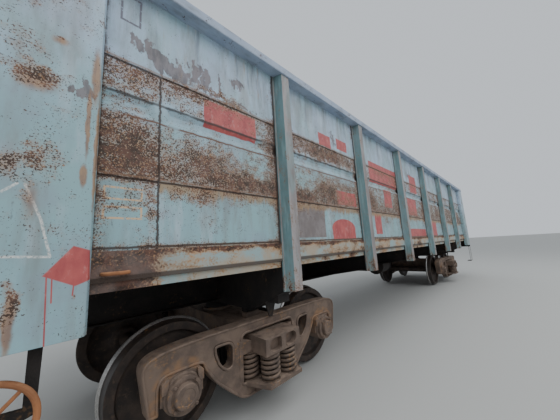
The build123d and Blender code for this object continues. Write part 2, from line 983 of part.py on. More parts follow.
def bogie_bolster(x):
    """Cast bolster with a deep belly, pocketed ends, the centre bowl and two side bearers."""
    top = rail(bolster_top)
    end = bolster_length / 2
    spring_top = rail(spring_seat) + spring_height
    end_top = spring_top + bolster_end_height
    shoulder = frame_inner - bolster_frame_gap
    nest_inner = frame_centre - spring_row_gap - spring_radius - bolster_spring_margin
    belly_half = nest_inner - bolster_belly_slope
    outline = [
        (-end, spring_top),
        (-nest_inner, spring_top),
        (-belly_half, rail(bolster_belly)),
        (belly_half, rail(bolster_belly)),
        (nest_inner, spring_top),
        (end, spring_top),
        (end, end_top),
        (shoulder, end_top),
        (shoulder - bolster_shoulder_slope, top),
        (bolster_shoulder_slope - shoulder, top),
        (-shoulder, end_top),
        (-end, end_top),
    ]
    beam = prism_x(outline, x - bolster_width / 2, x + bolster_width / 2)
    bowl_outer = bowl_radius + bowl_wall
    bowl_inner = bowl_radius + bowl_clearance
    bowl = drum([(top, bowl_outer), (top + bowl_height, bowl_outer)], drum_sides)
    bowl -= drum([(top, bowl_inner), (top + bowl_height, bowl_inner)], drum_sides)
    beam += Pos(x, 0, 0) * bowl
    for side in (-1, 1):
        y = side * bearer_offset
        half = bearer_length / 2
        beam += block((x - bearer_width / 2, x + bearer_width / 2), (y - half, y + half), (top, top + bearer_height))
        y_start, y_end = sorted((side * (end - bolster_pocket_depth), side * end))
        for turn in (-1, 1):
            points = [(x + turn * u, rail(height)) for u, height in bolster_pocket]
            beam -= prism_y(points, y_start, y_end)
    return beam


def spring_nest(x):
    """Far nest of seven springs in rows of two, three and two, the outer row with its coils."""
    # row distance from the frame's middle, and the springs' places along the wagon
    rows = [
        (-spring_row_gap, (-spring_pitch / 2, spring_pitch / 2)),
        (0, (-spring_pitch, 0, spring_pitch)),
        (spring_row_gap, (-spring_pitch / 2, spring_pitch / 2)),
    ]
    low = rail(spring_seat)
    plain = drum([(low, spring_radius), (low + spring_height, spring_radius)], spring_sides)
    pitch = spring_height / spring_coils
    coil_rows = [(low, spring_core)]
    for index in range(spring_coils):
        coil_rows.append((low + (index + 0.5) * pitch, spring_radius))
        coil_rows.append((low + (index + 1) * pitch, spring_core))
    coiled = drum(coil_rows, spring_sides)
    springs = []
    for offset_y, places in rows:
        form = coiled if offset_y > 0 else plain
        for place in places:
            springs.append(Pos(x + place, frame_centre + offset_y, 0) * form)
    return springs


def wedges(x):
    """Far friction wedges between the bolster's end and the columns of the side frame."""
    low = rail(spring_seat) + spring_height
    high = low + bolster_end_height - wedge_top_gap
    inner = bolster_width / 2
    outer = spring_opening / 2
    outline = [(x + inner, low), (x + outer, low), (x + outer, high), (x + inner, high - wedge_slope)]
    wedge = prism_y(outline, frame_inner + wedge_inset, frame_outer - wedge_inset)
    return [wedge, Pos(x, 0, 0) * along(Pos(-x, 0, 0) * wedge)]


def axlebox(x):
    """Far axle box in the pedestal, with its front cover and bearing cap."""
    inner = axlebox_inner
    front = inner + axlebox_length
    cover = front + axlebox_cover_length
    cap = cover + axlebox_cap_length
    roof = rail(frame_pedestal_top)
    box = drum_y([(inner, axlebox_radius), (front, axlebox_radius)], x, axle_z, axlebox_sides)
    half = frame_pedestal_width / 2
    saddle = [
        (x - half, axle_z - saddle_skirt),
        (x + half, axle_z - saddle_skirt),
        (x + half, roof - saddle_bevel),
        (x + half - saddle_bevel, roof),
        (x - half + saddle_bevel, roof),
        (x - half, roof - saddle_bevel),
    ]
    box += prism_y(saddle, frame_inner - saddle_lip, frame_outer + saddle_lip)
    box += drum_y([(front, axlebox_cover_radius), (cover, axlebox_cover_radius)], x, axle_z, axlebox_sides)
    box += drum_y([(cover, axlebox_cap_radius), (cap, axlebox_cap_radius)], x, axle_z, axlebox_sides)
    bore = journal_radius + journal_clearance
    box -= drum_y([(inner, bore), (axle_length / 2 + journal_end_gap, bore)], x, axle_z, axlebox_sides)
    return box


def brake_beam(x, side):
    """Brake beam beside one axle, with shoes facing the treads and hangers on the side frames."""
    wheel_x = x + side * wheelbase / 2
    face = tread_radius / math.cos(math.pi / wheel_sides) + shoe_gap
    back = face + shoe_thickness
    beam_x = wheel_x - side * (back + brake_beam_radius - brake_beam_seat)
    end = hanger_offset + hanger_width / 2
    beam = drum_y([(-end, brake_beam_radius), (end, brake_beam_radius)], beam_x, axle_z, rod_sides)
    # arc of the shoe, seen along the axle
    facing = 180 if side > 0 else 0
    angles = [math.radians(facing + shoe_half_angle * step) for step in (-1, -0.5, 0, 0.5, 1)]
    # corners of the shoe's flats, so that the flats themselves lie at these distances
    chord = math.cos(math.radians(shoe_half_angle / 4))
    inner_arc = [(wheel_x + face / chord * math.cos(a), axle_z + face / chord * math.sin(a)) for a in angles]
    outer_arc = [(wheel_x + back / chord * math.cos(a), axle_z + back / chord * math.sin(a)) for a in angles]
    pin_z = rail(hanger_top) - hanger_width
    pin = hanger_width / 2
    for flank in (-1, 1):
        middle = flank * shoe_offset
        beam += prism_y(inner_arc + outer_arc[::-1], middle - shoe_width / 2, middle + shoe_width / 2)
        y_start, y_end = sorted((flank * (hanger_offset - pin), flank * (hanger_offset + pin)))
        beam += block((beam_x - pin, beam_x + pin), (y_start, y_end), (axle_z, rail(hanger_top)))
        y_start, y_end = sorted((flank * hanger_offset, flank * frame_inner))
        beam += block((beam_x - pin, beam_x + pin), (y_start, y_end), (pin_z - pin, pin_z + pin))
    return beam


bogies = {"left": -bogie_x, "right": bogie_x}
for name, x in bogies.items():
    frame = side_frame(x)
    keep(f"side_frames_{name}", frame, across(frame))
    keep(f"bolster_{name}", bogie_bolster(x))
    nest = spring_nest(x)
    keep(f"springs_{name}", *nest, *[across(spring) for spring in nest])
    wedge_pair = wedges(x)
    keep(f"wedges_{name}", *wedge_pair, *[across(wedge) for wedge in wedge_pair])
    boxes = [axlebox(x + side * wheelbase / 2) for side in (-1, 1)]
    keep(f"axle_boxes_{name}", *boxes, *[across(box) for box in boxes])
    keep(f"brake_beams_{name}", brake_beam(x, -1), brake_beam(x, 1))

axle_places = []
for x in bogies.values():
    axle_places.append(x - wheelbase / 2)
    axle_places.append(x + wheelbase / 2)
disc = wheel()
for number, x in enumerate(axle_places, start=1):
    keep(f"axle_{number}", axle(x))
    placed = Pos(x, 0, axle_z) * disc
    keep(f"wheels_{number}", placed, across(placed))


# Couplers

def coupler():
    """Automatic coupler at the +X end: shank and claw head."""
    back = coupling_plane - coupler_head_length
    points = [(coupling_plane + u, v) for u, v in coupler_claw]
    half_head = coupler_head_height / 2
    head = prism_z(points, rail(coupler_height) - half_head, rail(coupler_height) + half_head)
    half_shank = coupler_shank_height / 2
    shank = block(
        (back - coupler_shank_length, back + coupler_neck_length),
        (-coupler_shank_width / 2, coupler_shank_width / 2),
        (rail(coupler_height) - half_shank, rail(coupler_height) + half_shank),
    )
    return head + shank


def draft_gear():
    """Block behind the shank between the sill's webs, which the coupler bears on."""
    half = sill_web_gap / 2
    end = coupling_plane - coupler_head_length - coupler_shank_length
    half_height = draft_gear_height / 2
    return block((end - draft_gear_length, end), (-half, half),
                 (rail(coupler_height) - half_height, rail(coupler_height) + half_height))


keep("coupler_right", coupler())
keep("coupler_left", Rot(0, 0, 180) * coupler())
keep("draft_gears", draft_gear(), along(draft_gear()))


# Air brake gear under the middle of the body

def brake_cylinder():
    """Brake cylinder hung beside the sill, with its lever and the long pull rods to the bogies."""
    radius = brake_cylinder_radius
    bar = brake_rod_radius
    y = -(sill_outer + sill_flange + brake_gear_gap + brake_flange + radius)
    z = rail(brake_gear_height)
    half = brake_cylinder_length / 2
    body = drum_x([(-half, radius), (half, radius)], y, z, drum_sides)
    for end in (-half, half):
        flange = [(end - brake_flange / 2, radius + brake_flange), (end + brake_flange / 2, radius + brake_flange)]
        body += drum_x(flange, y, z, drum_sides)
    lever_x = half + radius
    body += drum_x([(half, 2 * bar), (lever_x, 2 * bar)], y, z, rod_sides)
    strap_x = half * 0.6
    body += block((-strap_x, strap_x), (y, -sill_outer), (z, z + brake_strap))
    rod_height = rail(brake_rod_height)
    rod_y_place = -sill_web_gap / 4
    low = rod_height - bar
    high = rod_height + bar
    body += block((lever_x - bar, lever_x + bar), (y - 2 * bar, y + 2 * bar), (low, z + 2 * bar))
    body += block((lever_x - bar, lever_x + bar), (y - 2 * bar, sill_web_gap / 2), (low, high))
    body += drum_x([(-brake_rod_length, bar), (brake_rod_length, bar)], rod_y_place, rod_height, rod_sides)
    for turn in (-2, -1, 1, 2):
        x = turn * brake_hanger_pitch
        body += block((x - bar, x + bar), (-sill_web_gap / 2 - sill_web, rod_y_place + bar), (high - bar, rail(sill_bottom)))
    return body


def reservoir():
    """Air reservoir with domed ends on the far side of the sill."""
    radius = reservoir_radius
    y = pipe_offset + pipe_radius + reservoir_gap + radius
    z = rail(brake_gear_height)
    half = reservoir_length / 2
    dome = radius * 0.3
    rows = [
        (-half, radius - dome),
        (dome - half, radius),
        (half - dome, radius),
        (half, radius - dome),
    ]
    tank = drum_x(rows, y, z, drum_sides)
    strap_half = brake_strap / 2
    for middle in (-half * 0.5, half * 0.5):
        tank += block((middle - strap_half, middle + strap_half), (sill_outer, y), (z, z + brake_strap))
    return tank


def brake_pipe():
    """Main air pipe along the far side of the sill, with the clips that hang it."""
    z = rail(pipe_height)
    end = half_body + 2 * pipe_clip
    pipe = drum_x([(-end, pipe_radius), (end, pipe_radius)], pipe_offset, z, rod_sides)
    low = rail(sill_bottom)
    toe = sill_outer + sill_flange
    clip = [
        (toe - 3 * pipe_clip, low),
        (pipe_offset + pipe_clip, low),
        (pipe_offset + pipe_clip, z),
        (pipe_offset - pipe_clip, z),
        (pipe_offset - pipe_clip, low - pipe_clip),
        (toe - 3 * pipe_clip, low - pipe_clip),
    ]
    for x in cross_beam_places:
        pipe += prism_x(clip, x - pipe_clip, x + pipe_clip)
    return pipe


keep("brake_cylinder", brake_cylinder())
keep("air_reservoir", reservoir())
keep("brake_pipe", brake_pipe())


# Hand brake wheel and corner steps

def handwheel():
    """Parking brake wheel on its shaft under the near corner at -X, with its hanger plate."""
    plate_y = -upper_side
    y = plate_y - handwheel_reach
    x = handwheel_from_end - half_body
    z = rail(handwheel_height)
    bar = handwheel_bar
    outer = [(y - bar, handwheel_radius - bar), (y, handwheel_radius), (y + bar, handwheel_radius - bar)]
    inner = [(y - bar, handwheel_radius - bar), (y, handwheel_radius - 2 * bar), (y + bar, handwheel_radius - bar)]
    ring = drum_y(outer, x, z, handwheel_sides) - drum_y(inner, x, z, handwheel_sides)
    spoke_end = handwheel_radius - bar
    half = bar * 0.6
    for turn in (45, 135):
        spoke = Box(2 * spoke_end, 2 * half, 2 * half)
        ring += Pos(x, y, z) * Rot(0, turn, 0) * spoke
    hub = handwheel_shaft_radius * 2
    hub_half = handwheel_hub_length / 2
    ring += drum_y([(y - hub_half, hub), (y + hub_half, hub)], x, z, rod_sides)
    back = plate_y + hanger_plate_thickness
    ring += drum_y([(y, handwheel_shaft_radius), (back, handwheel_shaft_radius)], x, z, rod_sides)
    plate_x = hanger_plate_from_end - half_body
    half = hanger_plate_width / 2
    outline = [
        (plate_x - half, floor_top),
        (plate_x + half, floor_top),
        (plate_x + half * 0.6, z - hanger_plate_neck),
        (plate_x - half, z - hub),
        (x - hub, z - hub),
        (x - hub, z + hub),
        (x + hub, z + hub),
        (plate_x - half, z + hub * 0.5),
    ]
    return ring + prism_y(outline, plate_y, back)


def corner_step():
    """Step hung under the far corner plate at +X."""
    y = sheet_outer + corner_plate_depth - corner_plate_thickness / 2
    bar = step_bar / 2
    top = rail(corner_plate_bottom)
    half = step_width / 2
    step_x = half_body - step_from_end
    tread = (rail(step_height), rail(step_height) + step_bar)
    step = block((step_x - half, step_x + half), (y - step_reach, y + bar), tread)
    strap = step_strap / 2
    for side in (-1, 1):
        middle = step_x + side * (half - bar)
        step += block((middle - bar, middle + bar), (y - strap, y + strap), (rail(step_height), top))
    return step


keep("hand_brake", handwheel())
keep("corner_steps", across(corner_step()), along(corner_step()))


os.makedirs("parts", exist_ok=True)
for name, solids in nodes.items():
    shape = solids[0] if len(solids) == 1 else Compound(solids)
    export_step(shape, f"parts/{name}.step")
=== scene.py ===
import json
import math

import bmesh
import bpy
from mathutils import Matrix, Vector, noise


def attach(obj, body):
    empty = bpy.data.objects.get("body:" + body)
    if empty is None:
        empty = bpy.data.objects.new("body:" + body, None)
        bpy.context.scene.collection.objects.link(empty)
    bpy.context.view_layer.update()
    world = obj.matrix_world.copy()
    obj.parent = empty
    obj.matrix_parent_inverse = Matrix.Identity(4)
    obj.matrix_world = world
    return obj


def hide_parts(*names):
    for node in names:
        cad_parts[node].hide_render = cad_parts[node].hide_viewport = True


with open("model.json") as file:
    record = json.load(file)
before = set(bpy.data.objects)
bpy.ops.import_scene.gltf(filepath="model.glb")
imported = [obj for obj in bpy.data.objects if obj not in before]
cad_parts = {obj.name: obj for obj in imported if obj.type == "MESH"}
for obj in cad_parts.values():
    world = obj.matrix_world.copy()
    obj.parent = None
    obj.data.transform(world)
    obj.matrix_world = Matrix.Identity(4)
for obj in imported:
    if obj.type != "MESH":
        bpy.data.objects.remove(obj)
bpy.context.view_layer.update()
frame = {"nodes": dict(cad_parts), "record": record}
nodes = frame["nodes"]

MM = 0.001

# Real places in metres. Heights are above the flange bottoms, which lie RAIL_TOP under the rail head.
RAIL_TOP = 0.028
HALF_BODY = 6.390
PANEL_JOINT = 5.566
CORNER_EDGE = 5.910
FIRST_LAP = 2.035 + RAIL_TOP
SECOND_LAP = 2.823 + RAIL_TOP
GROOVE_LOW = 2.469 + RAIL_TOP
GROOVE_HIGH = 2.598 + RAIL_TOP
CHORD_TOP = 1.581 + RAIL_TOP
SHEET_FOOT = CHORD_TOP + 0.022
SHEET_TOP = 3.42
FLOOR_TOP = 1.405 + RAIL_TOP
POST_PITCH = 1.73
POST_PLACES = [(index - 2.5) * POST_PITCH for index in range(6)]
POST_HALF = 0.107
AXLE_HEIGHT = 0.503
AXLE_PLACES = [-5.25, -3.40, 3.40, 5.25]
BOGIE_PLACES = {"left": -4.325, "right": 4.325}


# Camera: at the place, turn, tilt and lens worked out from the photograph

CAMERA_PLACE = Vector((-6.0863, -3.1186, 1.5482 + RAIL_TOP))
CAMERA_TURN = math.radians(44.90)
CAMERA_TILT = math.radians(8.80)
CAMERA_ROLL = math.radians(-3.405)
CAMERA_FOCUS_PIXELS = 236.53
PHOTO_WIDTH = 560
SENSOR_MM = 36.0


def make_camera():
    """Camera that looks along the near side from the left corner."""
    data = bpy.data.cameras.new("camera")
    data.sensor_fit = "HORIZONTAL"
    data.sensor_width = SENSOR_MM
    data.lens = CAMERA_FOCUS_PIXELS / PHOTO_WIDTH * SENSOR_MM
    data.clip_start = 0.05
    data.clip_end = 200
    camera = bpy.data.objects.new("camera", data)
    bpy.context.scene.collection.objects.link(camera)
    forward = Vector((
        math.sin(CAMERA_TURN) * math.cos(CAMERA_TILT),
        math.cos(CAMERA_TURN) * math.cos(CAMERA_TILT),
        math.sin(CAMERA_TILT),
    ))
    level = Vector((math.cos(CAMERA_TURN), -math.sin(CAMERA_TURN), 0))
    upright = level.cross(forward)
    right = level * math.cos(CAMERA_ROLL) + upright * math.sin(CAMERA_ROLL)
    up = upright * math.cos(CAMERA_ROLL) - level * math.sin(CAMERA_ROLL)
    rotation = Matrix((right, up, -forward)).transposed()
    camera.matrix_world = Matrix.Translation(CAMERA_PLACE) @ rotation.to_4x4()
    bpy.context.scene.camera = camera


# Colours and shader nodes

def linear(code):
    """Linear colour with alpha from an sRGB hex code."""
    channels = [int(code[i:i + 2], 16) / 255 for i in (1, 3, 5)]
    return [c / 12.92 if c <= 0.04045 else ((c + 0.055) / 1.055) ** 2.4 for c in channels] + [1.0]


CLOUD_SOCKETS = ("Vector", "Scale", "Detail", "Roughness")
# what each word stands for: node type, settings, sockets for the values and socket of the result
NODE_WORDS = {
    "shader": ("ShaderNodeBsdfPrincipled", {}, ("Roughness", "Metallic"), None),
    "surface": ("ShaderNodeOutputMaterial", {}, ("Surface",), None),
    "place": ("ShaderNodeTexCoord", {}, (), "Object"),
    "facing": ("ShaderNodeNewGeometry", {}, (), "Normal"),
    "parts": ("ShaderNodeSeparateXYZ", {}, (0,), None),
    "clouds": ("ShaderNodeTexNoise", {}, CLOUD_SOCKETS, 0),
    "coloured clouds": ("ShaderNodeTexNoise", {}, CLOUD_SOCKETS, "Color"),
    "ramp": ("ShaderNodeValToRGB", {}, (0,), None),
    "clamp": ("ShaderNodeClamp", {}, (0,), 0),
    "relief": ("ShaderNodeBump", {}, ("Height", "Distance", "Strength"), 0),
    "step": ("ShaderNodeMapRange", {"interpolation_type": "SMOOTHSTEP"}, range(5), 0),
    "mix": ("ShaderNodeMix", {"data_type": "RGBA"}, (0, 6, 7), 2),
    "blend": ("ShaderNodeMix", {"data_type": "FLOAT"}, (0, 2, 3), 0),
}
for word, operation in (
        ("times", "MULTIPLY"), ("times and plus", "MULTIPLY_ADD"), ("minus", "SUBTRACT"),
        ("larger", "MAXIMUM"), ("smaller", "MINIMUM"), ("size", "ABSOLUTE"), ("to and fro", "PINGPONG")):
    NODE_WORDS[word] = ("ShaderNodeMath", {"operation": operation}, range(3), 0)
for word, operation, sockets, result in (
        ("move", "ADD", (0, 1), 0), ("away from", "SUBTRACT", (0, 1), 0), ("stretch", "MULTIPLY", (0, 1), 0),
        ("stretch and move", "MULTIPLY_ADD", (0, 1, 2), 0), ("scale", "SCALE", (0, "Scale"), 0),
        ("sizes", "ABSOLUTE", (0,), 0), ("along", "DOT_PRODUCT", (0, 1), 1), ("length", "LENGTH", (0,), 1),
        ("distance", "DISTANCE", (0, 1), 1)):
    NODE_WORDS[word] = ("ShaderNodeVectorMath", {"operation": operation}, sockets, result)
# further in metres than any place on the wagon
FAR_OFF = 99.0


class Finish:
    """One material being made: its tree, its shader and the wagon's own coordinates in metres."""

    def __init__(self, name, roughness, metallic=0.0):
        self.material = bpy.data.materials.new(name)
        self.material.use_nodes = True
        self.tree = self.material.node_tree
        self.tree.nodes.clear()
        self.shader = self.node("shader", roughness, metallic)
        self.node("surface", self.shader.outputs[0])
        self.place = self.node("place")
        self.parts = self.node("parts", self.place).outputs
        self.facing = self.node("parts", self.node("facing")).outputs

    def node(self, word, *values):
        """Add the node a word stands for, fed with numbers, hex colours or sockets, and give its result."""
        kind, settings, sockets, result = NODE_WORDS[word]
        new = self.tree.nodes.new(kind)
        for name, value in settings.items():
            setattr(new, name, value)
        for socket, value in zip(sockets, values):
            if isinstance(value, bpy.types.NodeSocket):
                self.tree.links.new(value, new.inputs[socket])
            else:
                new.inputs[socket].default_value = linear(value) if isinstance(value, str) else value
        return new if result is None else new.outputs[result]

    def spots(self, size_mm, start, full, stretch=(1, 1, 1), detail=5.0, seed=0.0):
        """Irregular spots about size_mm across: 0 between them, 1 in their middles."""
        scale = [1 / (size_mm * MM * s) for s in stretch]
        moved = self.node("stretch and move", self.place, scale, (seed, seed * 1.7, seed * 0.6))
        return self.node("step", self.node("clouds", moved, 1.0, detail, 0.62), start, full)

    def sum(self, *terms):
        """Sum of values and of (value, weight) pairs."""
        total = 0.0
        for term in terms:
            value, weight = term if isinstance(term, tuple) else (term, 1.0)
            total = self.node("times and plus", value, weight, total)
        return total

    def coats(self, colour, *coats):
        """Colour with coats laid over it in turn, given as (colour, mask, more masks or shares)."""
        for over, mask, *thinned in coats:
            for share in thinned:
                mask = self.node("times", mask, share)
            colour = self.node("mix", mask, colour, over)
        return colour

    def wobbled(self, reach, scale, detail):
        """The place moved by up to half of reach, which makes what is drawn with it ragged."""
        clouds = self.node("coloured clouds", self.place, scale, detail)
        wobble = self.node("away from", clouds, (0.5, 0.5, 0.5))
        return self.node("move", self.place, self.node("scale", wobble, reach))

    def panels(self, rows, ragged, soft=0.004):
        """Mask of level rectangles given as (x start, x end, height start, height end)."""
        place = self.wobbled(ragged, 12.0, 6.0)
        nearest = FAR_OFF
        for x_start, x_end, low, high in rows:
            away = self.node("away from", place, ((x_start + x_end) / 2, 0, (low + high) / 2))
            half = ((x_end - x_start) / 2, FAR_OFF, (high - low) / 2)
            x, _, z = self.node("parts", self.node("away from", self.node("sizes", away), half)).outputs
            nearest = self.node("smaller", self.node("larger", x, z), nearest)
        return self.node("step", nearest, soft, -soft)

    def frames(self, rows, line, height, ragged, soft):
        """Mask of empty rectangles drawn with uprights as wide as line and bars of the height given."""
        inside = [(a + line, b - line, low + height, high - height) for a, b, low, high in rows]
        return self.node("minus", self.panels(rows, ragged, soft), self.panels(inside, ragged, soft))

    def fields(self, rows, ragged, seed=3.0):
        """Field of soft ovals given as (x, height, half length, half height, value in the middle)."""
        place = self.wobbled(ragged * 2, 11.0 + seed, 5.0)
        highest = 0.0
        for x, height, half_length, half_height, value in rows:
            away = self.node("away from", place, (x, 0, height))
            away = self.node("length", self.node("stretch", away, (1 / half_length, 0, 1 / half_height)))
            highest = self.node("larger", self.node("times and plus", away, -value, value), highest)
        return highest

    def polygon(self, corners):
        """Mask of a convex shape given by its corners (x, height) in order."""
        furthest = -FAR_OFF
        for (x1, z1), (x2, z2) in zip(corners, corners[1:] + corners[:1]):
            out = Vector((z1 - z2, 0, x2 - x1)).normalized()
            beyond = self.node("minus", self.node("along", self.place, out), out.dot(Vector((x1, 0, z1))))
            furthest = self.node("larger", furthest, beyond)
        return self.node("step", furthest, 0.004, -0.002)

    def strokes(self, rows, width):
        """Mask of straight hand-drawn lines given as (x, height, x, height)."""
        flat = self.node("stretch", self.place, (1, 0, 1))
        nearest = FAR_OFF
        for x1, z1, x2, z2 in rows:
            start = Vector((x1, 0, z1))
            run = Vector((x2, 0, z2)) - start
            reach = self.node("away from", flat, start)
            share = self.node("clamp", self.node("along", reach, run / run.length_squared))
            gap = self.node("distance", reach, self.node("scale", run, share))
            nearest = self.node("smaller", nearest, gap)
        return self.node("step", nearest, width / 2, width / 5)

    def done(self, colour, grain, depth_mm, worn=None, rough=(0.5, 0.9), relief=1.0):
        """The material with its colour and a fine relief, which is full only where it is worn.

        Roughness goes from the first value to the second, and the relief from its share to 1.
        """
        sockets = {"Base Color": colour}
        if worn:
            sockets["Roughness"] = self.node("step", worn, 0, 1, *rough)
            relief = self.node("step", worn, 0, 1, relief, 1.0)
        sockets["Normal"] = self.node("relief", grain, depth_mm * MM, relief)
        for name, value in sockets.items():
            self.tree.links.new(value, self.shader.inputs[name])
        return self.material


# Floor and light

FLOOR_SIZE = 400.0


def make_floor():
    """Pale studio floor that the wagon stands on."""
    mesh = bpy.data.meshes.new("floor")
    half = FLOOR_SIZE / 2
    corners = [(-half, -half, 0), (half, -half, 0), (half, half, 0), (-half, half, 0)]
    mesh.from_pydata(corners, [], [(0, 1, 2, 3)])
    floor = bpy.data.objects.new("floor", mesh)
    bpy.context.scene.collection.objects.link(floor)
    finish = Finish("pale_floor", 0.9)
    finish.shader.inputs["Base Color"].default_value = linear("#b9b9b5")
    mesh.materials.append(finish.material)


def make_light():
    """Light of an overcast sky: an even world and one broad lamp over the near side."""
    world = bpy.data.worlds.new("studio")
    world.use_nodes = True
    background = world.node_tree.nodes["Background"]
    background.inputs["Color"].default_value = linear("#dfe5ec")
    background.inputs["Strength"].default_value = 0.93
    bpy.context.scene.world = world
    data = bpy.data.lights.new("overhead", "AREA")
    data.shape = "RECTANGLE"
    data.size = 26.0
    data.size_y = 16.0
    data.energy = 1550.0
    data.color = linear("#f4f6f8")[:3]
    light = bpy.data.objects.new("overhead", data)
    light.location = (-3.0, -7.0, 11.0)
    light.rotation_euler = (math.radians(28), 0, 0)
    bpy.context.scene.collection.objects.link(light)


# Marks and rust: places on the near side, with heights above the rail head

# red cover-up patches, as (x start, x end, height start, height end)
RED_PATCHES = [
    (-5.23, -4.69, 2.555, 2.8), (-3.64, -3.36, 2.83, 3.01), (-3.21, -2.93, 2.88, 3.04),
    (-3.32, -2.79, 2.065, 2.265), (-3.48, -2.9, 1.6, 1.76), (-2.22, -0.95, 2.56, 2.93),
    (-1.7, -1.35, 2.15, 2.48), (-2.19, -1.93, 1.66, 2.0), (-0.12, 0.38, 2.62, 3.04),
    (-0.43, 0.18, 2.07, 2.46), (-0.64, 0.7, 1.58, 1.77), (1.2, 1.85, 1.59, 2.0),
]
GREY_PATCHES = [(-4.14, -3.63, 1.63, 2.00)]
# red arch over a patch, as (x, height, half length, half height, weight)
RED_ARCH = [(-3.19, 1.74, 0.3, 0.13, 4.0)]
# corners of the red diamond on the corner plate, as (x, height), and the paint that ran from it
DIAMOND = [(-6.087, 1.478), (-5.986, 1.611), (-5.92, 1.587), (-5.912, 1.44), (-5.971, 1.418)]
DRIPS = [(-6.074, 1.47, -6.063, 1.17), (-6.055, 1.46, -6.051, 1.354), (-5.975, 1.44, -5.978, 1.375)]
# empty stencil frames, as (x start, x end, height start, height end)
STENCIL_FRAMES = [(-5.868, -5.658, 1.886, 1.968), (-5.868, -5.658, 1.768, 1.848)]
DARK_FRAME = [(-5.828, -5.702, 3.125, 3.345)]
# rust fields as (x, height, half length, half height, weight), where more weight rusts more of the place
SHEET_RUST = [
    (-5.74, 2.25, 0.24, 0.3, 0.55), (-5.74, 2.72, 0.24, 0.16, 0.24), (-5.3, 2.78, 0.3, 0.05, 0.3),
    (-5.2, 2.27, 0.38, 0.15, 0.34), (-4.8, 2.13, 0.75, 0.1, 0.42), (-5.12, 2.88, 0.34, 0.06, 0.5),
    (-5.74, 2.52, 0.24, 0.08, 0.2), (-5.61, 1.88, 0.06, 0.24, 0.4), (-5.3, 1.94, 0.26, 0.1, 0.34),
    (-5.62, 1.93, 0.08, 0.14, 0.34), (-5.88, 1.8, 0.06, 0.24, 0.26), (-5.74, 1.84, 0.16, 0.03, 0.3),
    (-4.52, 2.55, 0.12, 0.4, 0.22), (-3.5, 2.71, 1.0, 0.14, 0.52), (-3.5, 2.24, 0.36, 0.22, 0.46),
    (-4.0, 2.1, 0.4, 0.09, 0.36), (-3.05, 2.33, 0.4, 0.08, 0.3), (-2.3, 2.24, 0.34, 0.24, 0.46),
    (-1.1, 2.2, 0.24, 0.3, 0.3), (-1.6, 1.9, 0.5, 0.1, 0.16), (-1.2, 2.55, 1.5, 0.34, 0.2),
    (1.6, 2.45, 2.2, 0.4, 0.2), (0.7, 2.3, 0.3, 0.36, 0.34), (2.2, 2.3, 0.5, 0.24, 0.3),
    (3.6, 2.4, 0.6, 0.3, 0.34), (5.2, 2.3, 0.5, 0.34, 0.3),
]
PLATE_RUST = [
    (-6.18, 2.47, 0.15, 0.075, 0.62), (-6.29, 2.48, 0.14, 0.09, 0.3), (-6.21, 2.92, 0.13, 0.16, 0.3),
    (-6.13, 3.16, 0.11, 0.09, 0.26), (-6.25, 2.64, 0.12, 0.07, 0.22), (-6.06, 2.5, 0.08, 0.04, 0.24),
    (-6.13, 2.03, 0.11, 0.15, 0.52), (-6.24, 1.97, 0.1, 0.09, 0.44), (-6.17, 1.85, 0.05, 0.11, 0.3),
    (-6.099, 2.715, 0.036, 0.02, 0.6), (-6.178, 1.38, 0.034, 0.13, 0.62), (-5.973, 1.37, 0.016, 0.026, 0.6),
    (6.15, 2.32, 0.12, 0.16, 0.46), (6.04, 1.62, 0.07, 0.2, 0.4), (6.22, 1.95, 0.09, 0.11, 0.46),
    (6.11, 2.9, 0.13, 0.09, 0.34), (6.18, 1.3, 0.08, 0.13, 0.46),
]
# water stains that ran down the edge of the corner plate
PLATE_STREAKS = [
    (-5.94, 2.57, 0.032, 0.23, 1.3), (-5.963, 2.28, 0.014, 0.27, 1.5), (-5.921, 2.12, 0.014, 0.42, 1.6),
    (-5.968, 1.975, 0.022, 0.08, 1.6), (-6.099, 2.7, 0.05, 0.035, 0.9), (-6.17, 2.42, 0.11, 0.07, 0.9),
    (-6.15, 1.83, 0.04, 0.16, 0.6), (-6.178, 1.29, 0.024, 0.2, 1.2),
]
# places where the last coat was rubbed off to a brown-grey one
SMEARS = [
    (-5.735, 3.02, 0.05, 0.08, 1.2), (-5.64, 3.0, 0.11, 0.09, 1.5), (-5.54, 2.93, 0.13, 0.12, 1.6),
    (-5.43, 2.9, 0.11, 0.11, 1.4), (-5.3, 2.98, 0.07, 0.15, 1.3), (-5.21, 2.96, 0.05, 0.17, 1.3),
    (-5.08, 2.95, 0.03, 0.22, 1.0), (-4.9, 3.08, 0.16, 0.06, 0.8), (-5.0, 2.87, 0.5, 0.03, 1.0),
    (-5.985, 2.47, 0.06, 0.1, 1.1), (-3.3, 3.0, 0.1, 0.2, 0.8), (-0.1, 3.02, 0.25, 0.12, 0.9),
]
# chalk lines on the corner plate, as (x, height, x, height)
CHALK = [
    (-6.243, 1.855, -6.197, 1.902), (-6.172, 1.901, -6.11, 1.74), (-6.11, 1.74, -6.068, 1.564),
    (-6.068, 1.564, -6.221, 1.575),
]
# how far rust has gone over the height of the sheets, as (height, share), within a band
RUST_BY_HEIGHT = [
    (1.2, 0.3), (1.56, 0.34), (1.6, 0.44), (1.635, 0.16), (1.8, 0.17), (1.95, 0.26), (2.03, 0.42),
    (2.06, 0.6), (2.18, 0.5), (2.32, 0.36), (2.44, 0.34), (2.47, 0.2), (2.58, 0.22), (2.61, 0.36),
    (2.72, 0.38), (2.8, 0.46), (2.84, 0.26), (2.9, 0.1), (3.2, 0.06), (3.5, 0.12),
]
BAND_FOOT = 1.10
BAND_HEIGHT = 2.5


def lift(rows, *heights):
    """Table rows with the heights in those columns measured from the flange bottoms."""
    return [tuple(value + RAIL_TOP * (column in heights) for column, value in enumerate(row))
            for row in rows]


# Materials

